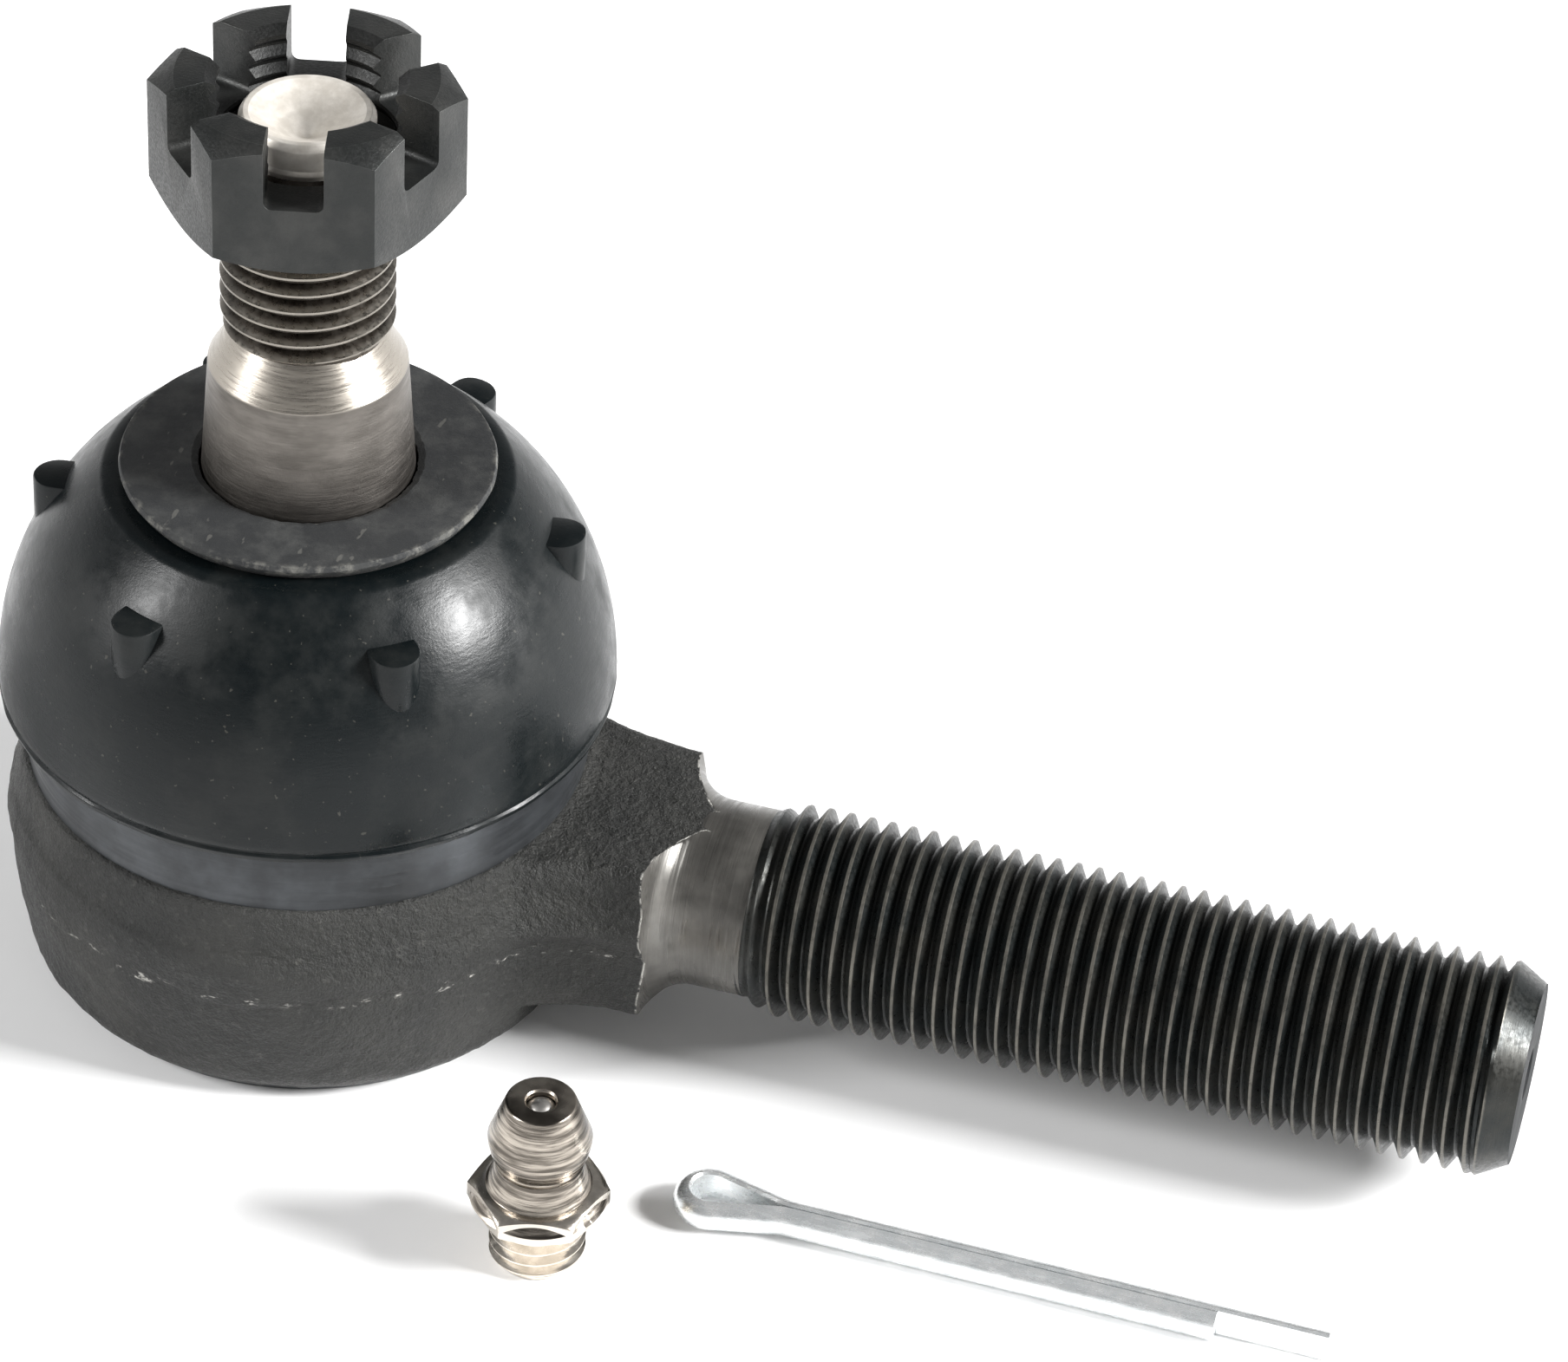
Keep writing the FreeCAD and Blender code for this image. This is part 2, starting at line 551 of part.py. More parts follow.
def make_seal_ring():
    """Flanged ring that closes the boot round the stud's taper."""
    body = new_body("seal_ring")
    taper = "taper_top_radius + ring_gap + (taper_top_z - {}) * taper_slope"
    low = taper.format("ring_low_z")
    top = taper.format("ring_top_z")
    turned(body, "ring", [
        (low, "ring_low_z"), ("ring_hub - ring_bevel", "ring_low_z"),
        ("ring_hub", "ring_low_z + ring_bevel"),
        ("ring_hub", "ring_top_z - ring_flange"), ("ring_radius - ring_draft", "ring_top_z - ring_flange"),
        ("ring_radius", "ring_top_z - ring_edge"), ("ring_radius - ring_edge / 2", "ring_top_z"),
        (top, "ring_top_z")])


def bevel(body, name, flats, start_radius, height, slope):
    """Turn the corners of a hexagon down to a cone; slope is 1 for its top and -1 for its foot."""
    far = f"{flats} / 2 / cos(30) + 1"
    drop = f"({far} - {start_radius}) * tan(30)"
    turned(body, name, [
        (start_radius, height), (far, f"{height} - {slope} * {drop}"),
        (far, f"{height} + {slope}"), (start_radius, f"{height} + {slope}")], cutting=True)


def make_castle_nut():
    """Slotted hexagon nut: bevelled both ways, threaded, with six slots across it."""
    body = new_body("castle_nut")
    hexagon_sketch = outline(
        new_sketch(body, "hexagon", "XY_Plane", "nut_low_z"), hexagon("nut_flats", "nut_turn"))
    padded(body, "blank", hexagon_sketch, "nut_high")
    bevel(body, "lower_bevel", "nut_flats", "nut_bevel_low", "nut_low_z", -1)
    top = "nut_low_z + nut_high"
    mouth = "nut_major + thread_clear"
    bevel(body, "upper_bevel", "nut_flats", "nut_bevel_top", top, 1)
    turned(body, "thread_hole", [
        (0, "nut_low_z - overrun"), (mouth, "nut_low_z - overrun"), (mouth, "nut_low_z"),
        ("nut_minor", "nut_low_z + lead_in"), ("nut_minor", f"{top} - lead_in"), (mouth, top),
        (mouth, f"{top} + overrun"), (0, f"{top} + overrun")], cutting=True)
    first = "nut_low_z + lead_in + stud_pitch / 2"
    half = "(nut_major - nut_minor) * tan(30) + crest_flat"
    tooth = turned(body, "nut_thread_groove", [
        ("nut_minor - tooth_clear", f"{first} - ({half})"), ("nut_major", f"{first} - crest_flat"),
        ("nut_major", f"{first} + crest_flat"), ("nut_minor - tooth_clear", f"{first} + ({half})")],
        cutting=True)
    repeated(body, "nut_thread", tooth, "Z_Axis", "stud_pitch", "nut_grooves")
    cut_slots(body)


def cut_slots(body):
    """Three slots straight across the nut, which make its six castellations."""
    turn = "(nut_turn + 30)"
    reach = "nut_flats"
    half = "slot_width / 2"
    sketch = outline(
        new_sketch(body, "slot_outline", "XY_Plane", "nut_low_z + nut_high - slot_depth"),
        [swung(f"{reach} * {a}", f"{half} * {b}", turn) for a, b in ((1, 1), (-1, 1), (-1, -1), (1, -1))])
    slot = body.newObject("PartDesign::Pocket", "slot")
    slot.Profile = sketch
    slot.Reversed = True
    bind(slot, "Length", "slot_depth + overrun")
    doc.recompute()
    around(body, "slots", slot, "slot_pairs")


def stand_beside(body):
    """Stand a piece of the loose grease fitting in its place on the floor."""
    bind(body, "Placement.Base.x", "fitting_x")
    bind(body, "Placement.Base.y", "fitting_y")
    bind(body, "Placement.Base.z", "floor_z")


def make_grease_fitting():
    """Grease fitting: thread, bevelled hexagon, flared neck, coned head and stepped passage."""
    body = new_body("grease_fitting")
    neck_z = "head_z - sqrt(head_radius ^ 2 - fitting_neck ^ 2)"
    turned(body, "shank", [
        (0, 0), ("fitting_major - lead_in", 0), ("fitting_major", "lead_in"),
        ("fitting_major", "hex_low - undercut"), ("fitting_minor", "hex_low - undercut / 3"),
        ("fitting_minor", "hex_low"), ("fitting_flats / 2 - collar_lean", "hex_low"),
        ("fitting_flats / 2 + collar_lean", "hex_top"),
        ("fitting_neck + flare_gap", "hex_top + flare_high", "flare_radius", -1),
        ("fitting_neck", neck_z), ("head_radius", "head_z", "head_radius", 1),
        ("head_flat", "fitting_high"), (0, "fitting_high")])
    hexagon_sketch = outline(
        new_sketch(body, "hexagon", "XY_Plane", "hex_low"), hexagon("fitting_flats", "fitting_turn"))
    padded(body, "wrench_flats", hexagon_sketch, "hex_top - hex_low")
    bevel(body, "hex_bevel", "fitting_flats", "fitting_flats / 2 - hex_clear", "hex_top", 1)
    tooth = turned(body, "fitting_thread_groove", thread_tooth(
        "z", "(lead_in + fitting_pitch / 2)", "fitting_major", "fitting_minor"), cutting=True)
    repeated(body, "fitting_thread", tooth, "Z_Axis", "fitting_pitch", "fitting_grooves")
    turned(body, "passage", [
        (0, "0 - overrun"), ("passage_radius", "0 - overrun"),
        ("passage_radius", "fitting_high - seat_depth"), ("check_mouth", "fitting_high - seat_depth / 2"),
        ("check_mouth", "fitting_high + overrun"), (0, "fitting_high + overrun")], cutting=True)
    stand_beside(body)


def make_check_valve():
    """Check ball, its coil spring and the pressed retainer inside the grease fitting."""
    ball = new_body("check_ball")
    turned(ball, "ball", [
        (0, "check_z - check_radius"), ("check_radius", "check_z", "check_radius", 1),
        (0, "check_z + check_radius", "check_radius", 1)])
    stand_beside(ball)
    retainer = new_body("spring_retainer")
    turned(retainer, "washer", [
        ("retainer_hole", "retainer_z"), ("passage_radius", "retainer_z"),
        ("passage_radius", "retainer_z + retainer_high"), ("retainer_hole", "retainer_z + retainer_high")])
    stand_beside(retainer)
    make_check_spring()


def make_check_spring():
    """Coil spring under the check ball, a round wire swept along a helix."""
    helix = doc.addObject("Part::Helix", "spring_path")
    bind(helix, "Radius", "coil_radius")
    bind(helix, "Pitch", "coil_pitch")
    bind(helix, "Height", "coil_high")
    wire = doc.addObject("Part::Circle", "spring_wire")
    bind(wire, "Radius", "coil_wire")
    bind(wire, "Placement.Base.x", "coil_radius")
    wire.Placement.Rotation = FreeCAD.Rotation(FreeCAD.Vector(1, 0, 0), 90)
    doc.recompute()
    spring = doc.addObject("Part::Sweep", "check_spring")
    spring.Sections = [wire]
    spring.Spine = (helix, ["Edge1"])
    spring.Solid = True
    spring.Frenet = True
    bind(spring, "Placement.Base.x", "fitting_x")
    bind(spring, "Placement.Base.y", "fitting_y")
    bind(spring, "Placement.Base.z", "floor_z + coil_low")
    spring.Label = "check_spring"
    parts.append(spring)
    doc.recompute()


def pin_route():
    """Centre line of the cotter pin's flat face: short leg, eye, long leg, as joined edges."""
    eye, gap, bend = value("pin_eye"), value("pin_gap"), value("pin_bend")
    slope = math.asin(eye / value("pin_close"))
    touch = FreeCAD.Vector(eye * math.sin(slope), eye * math.cos(slope), 0)
    cross = touch.x + (touch.y - gap) / math.tan(slope)
    ease = bend * math.tan(slope / 2)
    before = FreeCAD.Vector(cross - ease * math.cos(slope), gap + ease * math.sin(slope), 0)
    after = FreeCAD.Vector(cross + ease, gap, 0)
    middle = FreeCAD.Vector(
        after.x - bend * math.sin(slope / 2), gap + bend * (1 - math.cos(slope / 2)), 0)

    def near(point):
        return FreeCAD.Vector(point.x, -point.y, 0)

    short_tip = FreeCAD.Vector(value("short_leg"), -gap, 0)
    long_tip = FreeCAD.Vector(value("long_leg"), gap, 0)
    return [
        Part.LineSegment(short_tip, near(after)), Part.Arc(near(after), near(middle), near(before)),
        Part.LineSegment(near(before), near(touch)),
        Part.Arc(near(touch), FreeCAD.Vector(-eye, 0, 0), touch),
        Part.LineSegment(touch, before), Part.Arc(before, middle, after),
        Part.LineSegment(after, long_tip)]


def make_cotter_pin():
    """Split pin of half-round wire, its flat sides facing each other across the legs' gap."""
    radius = value("wire_radius")
    path = Part.Wire([edge.toShape() for edge in pin_route()])
    tip = FreeCAD.Vector(value("short_leg"), -value("pin_gap"), 0)
    up = FreeCAD.Vector(0, 0, radius)
    arc = Part.Arc(tip + up, tip - FreeCAD.Vector(0, radius, 0), tip - up)
    section = Part.Wire([arc.toShape(), Part.LineSegment(tip - up, tip + up).toShape()])
    pin = doc.addObject("Part::Feature", "cotter_pin")
    pin.Label = "cotter_pin"
    pin.Shape = path.makePipeShell([section], True, False, 2)
    parts.append(pin)
    bind(pin, "Placement.Base.x", "pin_x")
    bind(pin, "Placement.Base.y", "pin_y")
    bind(pin, "Placement.Base.z", "floor_z + wire_radius")
    pin.Placement.Rotation = FreeCAD.Rotation(FreeCAD.Vector(0, 0, 1), value("pin_turn"))
    doc.recompute()


def check_parts():
    """Stop if any object failed or any piece has no valid solid."""
    for thing in doc.Objects:
        if {"Invalid", "Error"} & set(thing.State):
            raise RuntimeError(f"{thing.Label} failed to rebuild")
    for piece in parts:
        if piece.Shape.isNull() or not piece.Shape.isValid() or not piece.Shape.Solids:
            raise RuntimeError(f"{piece.Label} has no valid solid")


def export_parts():
    """Write each piece to its own STEP file and print its size."""
    os.makedirs("parts", exist_ok=True)
    for piece in parts:
        piece.Shape.exportStep(f"parts/{piece.Label}.step")
        box = piece.Shape.BoundBox
        print(f"{piece.Label:16s} volume {piece.Shape.Volume:9.1f}  solids {len(piece.Shape.Solids)}"
              f"  x {box.XMin:.2f}..{box.XMax:.2f}  y {box.YMin:.2f}..{box.YMax:.2f}"
              f"  z {box.ZMin:.2f}..{box.ZMax:.2f}")


ALIASES = {name for name, _, _ in SIZES}
fill_sheet()
make_housing()
make_ball_stud()
make_bearings()
make_cover_plate()
make_dust_boot()
make_seal_ring()
make_castle_nut()
make_grease_fitting()
make_check_valve()
make_cotter_pin()
check_parts()
export_parts()
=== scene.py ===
import math
import random

import bmesh
import bpy
from mathutils import Matrix, Vector, noise


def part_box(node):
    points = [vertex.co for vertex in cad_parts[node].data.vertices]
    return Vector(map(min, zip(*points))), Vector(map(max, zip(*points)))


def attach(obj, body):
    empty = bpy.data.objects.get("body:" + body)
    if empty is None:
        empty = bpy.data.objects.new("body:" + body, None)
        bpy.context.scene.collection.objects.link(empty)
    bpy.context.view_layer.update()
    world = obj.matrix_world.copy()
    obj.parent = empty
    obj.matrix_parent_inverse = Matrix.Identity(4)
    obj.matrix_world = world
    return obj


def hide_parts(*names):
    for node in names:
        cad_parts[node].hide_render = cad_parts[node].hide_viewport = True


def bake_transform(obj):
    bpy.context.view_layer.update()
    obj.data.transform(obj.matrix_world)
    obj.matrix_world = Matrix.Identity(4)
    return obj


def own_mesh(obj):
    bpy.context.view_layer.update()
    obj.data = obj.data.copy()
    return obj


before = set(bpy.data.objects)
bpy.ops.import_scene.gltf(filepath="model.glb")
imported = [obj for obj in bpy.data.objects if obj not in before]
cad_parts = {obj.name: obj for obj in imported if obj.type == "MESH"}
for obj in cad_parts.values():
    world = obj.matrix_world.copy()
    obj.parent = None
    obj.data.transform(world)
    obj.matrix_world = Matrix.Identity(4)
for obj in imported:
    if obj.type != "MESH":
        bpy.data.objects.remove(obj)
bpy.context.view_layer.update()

# An outer tie rod end with its loose grease fitting and cotter pin.
# Lengths are millimetres in this script; every mesh is scaled to metres when it is made.

MM = 0.001
UPRIGHT = Matrix.Identity(4)
ALONG_X = Matrix.Rotation(math.radians(90), 4, "Y")
SHARP = math.radians(32)
random.seed(11)


def low(node):
    """Lowest corner of a CAD node, in millimetres."""
    return Vector(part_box(node)[0]) / MM


def high(node):
    """Highest corner of a CAD node, in millimetres."""
    return Vector(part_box(node)[1]) / MM


# ---- sizes read from the frame -------------------------------------------------------------

FLOOR = low("housing").z
CROWN = high("housing").z
STEM_END = high("housing").x
PLATE = low("cover_plate").z
PLATE_TOP = PLATE + 1.6
BORE = high("upper_bearing").x + 0.05
ROOF = high("upper_bearing").z + 0.05
LIP = low("dust_boot").z
BOOT_TOP = high("dust_boot").z
RING = high("seal_ring").x
RING_TOP = high("seal_ring").z
BALL = high("ball_stud").x
BALL_FLAT = low("ball_stud").z
STUD_END = high("ball_stud").z
NUT_LOW = low("castle_nut").z
NUT_TOP = high("castle_nut").z
FITTING = (low("grease_fitting") + high("grease_fitting")) / 2
FITTING_HIGH = high("grease_fitting").z - FLOOR
PIN_RADIUS = (high("cotter_pin").z - low("cotter_pin").z) / 2

# ---- sizes that the boxes don't give -------------------------------------------------------

EYE = 19.9            # rough forging
FORGING_LOW = FLOOR + 0.6
BAND = 18.7           # turned band under the boot
BAND_LOW = 6.3
GROOVE = 17.3         # boot groove
CORE = 15.6           # hollow inside the rough forging, filled by the turned piece
SHANK_Y = 7.6
SHANK_Z = 6.2
SHANK_START, SHANK_END = 12.4, 30.0
FLARE, FLARE_X = 14.0, 24.5
NECK = 6.3
NECK_START = 28.4
NECK_FILLET = 3.0
STEM_MAJOR, STEM_MINOR, STEM_PITCH = 7.144, 6.28, 1.4111
STEM_THREAD = 31.6
STEM_LAND = 80.9
STEM_CHAMFER = 2.0
STEM_TIP = 6.0
STUD_NECK = 5.1
TAPER_LOW, TAPER_TOP = 20.0, 36.8
TAPER_RADIUS, TAPER_SLOPE = 6.39, 0.0625
RELIEF, RELIEF_RADIUS = 38.9, 4.95
STUD_MAJOR, STUD_MINOR, STUD_PITCH = 5.556, 4.78, 1.27
STUD_THREAD_TOP = 53.1
PILOT = 4.3
DIMPLE = 3.65
BOOT = 20.4           # lip of the boot
DOME_TOP = 13.2
DOME_CURVE = 20.2
BOOT_WALL = 1.8
BOOT_MOUTH = 9.1
RING_HUB, RING_FLANGE = 4.6, 1.1
NUBS, NUB_TURN = 6, 8.6
NUB_ROOT, NUB_CENTRE, NUB_HALF = 14.3, 16.55, 1.62
NUB_FOOT, NUB_TOP = 20.2, 25.2
NUT_FLATS, NUT_TURN = 17.15, -106.1
NUT_BEVEL_LOW, NUT_BEVEL_TOP = 8.5, 8.2
SLOT_WIDTH, SLOT_DEPTH, SLOT_REACH = 3.7, 4.3, 12.0
NUT_MINOR, NUT_MAJOR = 5.62, 6.1
FITTING_FLATS, FITTING_TURN = 7.94, -106.0
HEX_LOW, HEX_TOP = 4.4, 6.3
HEAD, HEAD_Z, HEAD_FLAT, FITTING_NECK = 3.35, 10.3, 2.25, 2.85
FITTING_MAJOR, FITTING_MINOR, FITTING_PITCH = 3.12, 2.62, 0.907
CHECK_MOUTH = 0.95
PIN_PLACE, PIN_TURN = Vector((34.2, -18.95, 0)), -0.8
PIN_EYE, PIN_CLOSE, PIN_BEND, PIN_GAP = 1.25, 5.2, 5.0, 0.04
SHORT_LEG, LONG_LEG = 33.85, 41.1
BLUED = (0.16, 0.18, 0.23), 0.25      # tone and roughness of spring steel


# ---- mesh helpers --------------------------------------------------------------------------

def make_object(name, verts, faces, place=UPRIGHT, smooth=True):
    """Make an object from points in millimetres, with sharp edges kept by angle."""
    mesh = bpy.data.meshes.new(name)
    mesh.from_pydata([(place @ Vector(v)) * MM for v in verts], [], faces)
    mesh.update()
    piece = bpy.data.objects.new(name, mesh)
    bpy.context.scene.collection.objects.link(piece)
    if smooth:
        shade(piece)
    return piece


def shade(piece, angle=SHARP):
    """Shade smooth, but keep edges sharper than angle."""
    mesh = piece.data
    mesh.polygons.foreach_set("use_smooth", [True] * len(mesh.polygons))
    mesh.set_sharp_from_angle(angle=angle)


def face_outwards(piece):
    """Make a closed mesh's faces look outwards."""
    bm = bmesh.new()
    bm.from_mesh(piece.data)
    bmesh.ops.recalc_face_normals(bm, faces=bm.faces)
    bm.to_mesh(piece.data)
    bm.free()


def corner_arc(before, corner, after, radius, steps=5):
    """Replace a profile's corner with an arc."""
    before, corner, after = Vector(before), Vector(corner), Vector(after)
    arm_a, arm_b = before - corner, after - corner
    half = arm_a.angle(arm_b) / 2
    reach = min(radius / math.tan(half), arm_a.length * 0.48, arm_b.length * 0.48)
    start = corner + arm_a.normalized() * reach
    end = corner + arm_b.normalized() * reach
    points = []
    for step in range(steps + 1):
        t = step / steps
        points.append(start.lerp(corner, t).lerp(corner.lerp(end, t), t))
    return points


def rounded(profile, closed=False):
    """Turn (radius, height) or (radius, height, corner radius) into a smooth profile."""
    points = []
    count = len(profile)
    for index, item in enumerate(profile):
        inner = closed or 0 < index < count - 1
        if len(item) == 3 and inner:
            points += corner_arc(profile[index - 1][:2], item[:2],
                                 profile[(index + 1) % count][:2], item[2])
        else:
            points.append(Vector(item[:2]))
    return points


def arc_points(centre, radius, start, end, steps=16):
    """Points of an arc in a profile, angles in degrees from the radius direction."""
    points = []
    for step in range(steps + 1):
        angle = math.radians(start + (end - start) * step / steps)
        points.append((centre[0] + radius * math.cos(angle), centre[1] + radius * math.sin(angle)))
    return points


def revolve(name, profile, segments=192, place=UPRIGHT, closed=False, wobble=None):
    """Turn a profile round the local Z axis; wobble(angle, radius, height) may move a point."""
    verts, rings = [], []
    for radius, height in profile:
        if radius < 1e-6:
            rings.append([len(verts)])
            verts.append((0, 0, height))
            continue
        rings.append(list(range(len(verts), len(verts) + segments)))
        for step in range(segments):
            angle = math.tau * step / segments
            r, z = wobble(angle, radius, height) if wobble else (radius, height)
            verts.append((r * math.cos(angle), r * math.sin(angle), z))
    faces = []
    pairs = list(zip(rings, rings[1:]))
    if closed:
        pairs.append((rings[-1], rings[0]))
    for lower, upper in pairs:
        faces += band_faces(lower, upper, segments)
    return make_object(name, verts, faces, place)


def band_faces(lower, upper, segments):
    """Faces between two rings, either of which may be a single point."""
    faces = []
    for step in range(segments):
        after = (step + 1) % segments
        if len(lower) == 1 and len(upper) == 1:
            continue
        if len(lower) == 1:
            faces.append((lower[0], upper[after], upper[step]))
        elif len(upper) == 1:
            faces.append((lower[step], lower[after], upper[0]))
        else:
            faces.append((lower[step], lower[after], upper[after], upper[step]))
    return faces


def tooth_profile(pitch, major, minor):
    """One turn's thread section as (place along the axis, radius), with a rounded root."""
    flat = pitch / 8
    flank = (major - minor) * math.tan(math.radians(30))
    slack = max(pitch - flat - 2 * flank, 0.1)
    dip = 0.06 * (major - minor)
    return [(0.0, major), (flat * 0.5, major + 0.01), (flat, major),
            (flat + flank * 0.5, (major + minor) / 2), (flat + flank, minor),
            (flat + flank + slack / 2, minor - dip), (flat + flank + slack, minor),
            (flat + flank * 1.5 + slack, (major + minor) / 2)]


def thread(name, start, end, pitch, major, minor, place=UPRIGHT, chamfer=0.0, tip=0.0, fade=1.0,
           land=0.0, segments=96):
    """A helical thread between two heights: it fades in, and ends in a plain land and a chamfer."""
    section = tooth_profile(pitch, major, minor)
    turns = int((end - start) / pitch) + 3
    verts = []
    for step in range(turns * segments + 1):
        angle = math.tau * step / segments
        lift = start - pitch + pitch * step / segments
        for along, radius in section:
            height = min(max(lift + along, start), end)
            grown = min(max((height - start) / (fade * pitch), 0.0), 1.0)
            r = minor + (radius - minor) * grown
            if land and height > land:
                r += (major - r) * min((height - land) / (0.4 * pitch), 1.0)
            if chamfer and height > end - chamfer:
                r = min(r, major + (tip - major) * (height - end + chamfer) / chamfer)
            verts.append((r * math.cos(angle), r * math.sin(angle), height))
    width = len(section)
    faces = []
    for step in range(turns * segments):
        for k in range(width):
            a = step * width + k
            b = (step + 1) * width + k
            c = b + 1 if k < width - 1 else (step + 1 + segments) * width
            d = a + 1 if k < width - 1 else (step + segments) * width
            if c < len(verts):
                faces.append((a, b, c, d))
    return make_object(name, verts, faces, place)


def prism(name, outline, bottom, top):
    """A straight prism over an outline of (x, y) points."""
    count = len(outline)
    verts = [(x, y, bottom) for x, y in outline] + [(x, y, top) for x, y in outline]
    faces = [tuple(reversed(range(count))), tuple(range(count, 2 * count))]
    faces += [(k, (k + 1) % count, count + (k + 1) % count, count + k) for k in range(count)]
    return make_object(name, verts, faces, smooth=False)


def hexagon(flats, turn):
    """Corners of a hexagon whose first corner points along turn."""
    corner = flats / 2 / math.cos(math.radians(30))
    angles = [math.radians(turn + 60 * step) for step in range(6)]
    return [(corner * math.cos(angle), corner * math.sin(angle)) for angle in angles]


def boolean(piece, other, operation, transfer=False):
    """Combine two meshes and keep only the first object."""
    change = piece.modifiers.new("change", "BOOLEAN")
    change.object = other
    change.operation = operation
    change.solver = "EXACT"
    if transfer:
        change.material_mode = "TRANSFER"
    settle(piece)
    bpy.data.objects.remove(other)


def settle(piece):
    """Apply every modifier of a piece."""
    bpy.context.view_layer.update()
    graph = bpy.context.evaluated_depsgraph_get()
    mesh = bpy.data.meshes.new_from_object(piece.evaluated_get(graph))
    piece.modifiers.clear()
    piece.data = mesh


def soften_edges(piece, width, segments=2, material=-1):
    """Round off the sharp edges of a piece; material is the slot of the rounded faces."""
    bevel = piece.modifiers.new("edges", "BEVEL")
    bevel.width = width * MM
    bevel.segments = segments
    bevel.limit_method = "ANGLE"
    bevel.angle_limit = math.radians(28)
    bevel.harden_normals = False
    bevel.material = material
    settle(piece)


def join(name, pieces):
    """Join pieces into the first one and rename it."""
    bpy.ops.object.select_all(action="DESELECT")
    for piece in pieces:
        piece.select_set(True)
    bpy.context.view_layer.objects.active = pieces[0]
    bpy.ops.object.join()
    pieces[0].name = name
    pieces[0].data.name = name
    return pieces[0]


def shift(piece, offset):
    """Move a piece's mesh by millimetres, leaving its object at the origin."""
    piece.data.transform(Matrix.Translation(Vector(offset) * MM))


def finish_piece(piece, body, materials, nodes=()):
    """Give a piece its materials, the body it rides on and the CAD nodes it stands for."""
    if materials:
        piece.data.materials.clear()
        for material in materials:
            piece.data.materials.append(material)
    if body:
        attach(piece, body)
    if nodes:
        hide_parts(*nodes)
    return piece


# ---- material helpers ----------------------------------------------------------------------

class Surface:
    """A material under construction, with short calls for the nodes used here."""

    def __init__(self, name, **sockets):
        self.material = bpy.data.materials.new(name)
        self.material.use_nodes = True
        self.tree = self.material.node_tree
        self.shader = self.tree.nodes["Principled BSDF"]
        for socket, value in sockets.items():
            self.set(socket.replace("_", " ").title().replace("Ior", "IOR"), value)
        self.coords = self.tree.nodes.new("ShaderNodeTexCoord").outputs["Object"]

    def set(self, socket, value):
        """Set a shader socket's own value."""
        self.shader.inputs[socket].default_value = value

    def link(self, output, socket):
        """Drive a shader socket from a node."""
        self.tree.links.new(output, self.shader.inputs[socket])

    def node(self, kind, inputs=(), **settings):
        """Add a node, set its properties and feed its inputs with values or outputs."""
        node = self.tree.nodes.new(kind)
        for key, setting in settings.items():
            setattr(node, key, setting)
        for socket, value in dict(inputs).items():
            if isinstance(value, bpy.types.NodeSocket):
                self.tree.links.new(value, node.inputs[socket])
            else:
                node.inputs[socket].default_value = value
        return node

    def stretched(self, x, y, z, centre=(0, 0, 0)):
        """Object coordinates in millimetres about a centre, scaled on each axis."""
        moved = self.node("ShaderNodeVectorMath", {0: self.coords, 1: [c * MM for c in centre]},
                          operation="SUBTRACT").outputs[0]
        scale = [axis / MM for axis in (x, y, z)]
        return self.node("ShaderNodeVectorMath", {0: moved, 1: scale}, operation="MULTIPLY").outputs[0]

    def noise(self, scale, detail=4.0, rough=0.6, stretch=(1, 1, 1), centre=(0, 0, 0)):
        """Noise with features of about 1 / scale millimetres."""
        vector = self.stretched(*stretch, centre=centre)
        node = self.node("ShaderNodeTexNoise", {"Vector": vector, "Scale": scale, "Detail": detail,
                                                "Roughness": rough})
        return node.outputs["Fac"]

    def range(self, value, low_in, high_in, low_out=0.0, high_out=1.0):
        """Map a value from one range to another, clamped and eased."""
        node = self.node("ShaderNodeMapRange", {0: value, 1: low_in, 2: high_in, 3: low_out, 4: high_out},
                         interpolation_type="SMOOTHSTEP")
        return node.outputs[0]

    def math(self, operation, a, b=0.0):
        """One step of arithmetic."""
        return self.node("ShaderNodeMath", {0: a, 1: b}, operation=operation).outputs[0]

    def mix(self, factor, dark, light):
        """Mix two colours, or a node's colour with another."""
        node = self.node("ShaderNodeMix", {0: factor}, data_type="RGBA")
        for place, colour in ((6, dark), (7, light)):
            if isinstance(colour, bpy.types.NodeSocket):
                self.tree.links.new(colour, node.inputs[place])
            else:
                node.inputs[place].default_value = (*colour, 1)
        return node.outputs[2]

    def distance(self, axis, centre=(0, 0, 0)):
        """Distance in millimetres from an axis, Z or X, through a centre."""
        keep = (1, 1, 0) if axis == "Z" else (0, 1, 1)
        vector = self.stretched(*keep, centre=centre)
        return self.node("ShaderNodeVectorMath", {0: vector}, operation="LENGTH").outputs["Value"]

    def height(self, axis="Z"):
        """Coordinate in millimetres along an axis."""
        split = self.node("ShaderNodeSeparateXYZ", {0: self.stretched(1, 1, 1)})
        return split.outputs[axis]

    def relief(self, height, depth, strength=1.0, after=None):
        """Bump from a height, depth in millimetres."""
        inputs = {"Strength": strength, "Distance": depth * MM, "Height": height}
        if after is not None:
            inputs["Normal"] = after
        return self.node("ShaderNodeBump", inputs).outputs["Normal"]


def cut_edge(s):
    """Mask of the edge where the turned fillet cuts the forged shank."""
    inside = s.math("MAXIMUM", s.math("SUBTRACT", NECK + NECK_FILLET, s.distance("X")), 0.0)
    drop = s.math("SQRT", s.math("SUBTRACT", NECK_FILLET ** 2, s.math("MULTIPLY", inside, inside)))
    edge = s.math("SUBTRACT", NECK_START, drop)
    gap = s.math("ABSOLUTE", s.math("SUBTRACT", s.height("X"), edge))
    return s.range(gap, 0.05, 0.17, 1.0, 0.0)


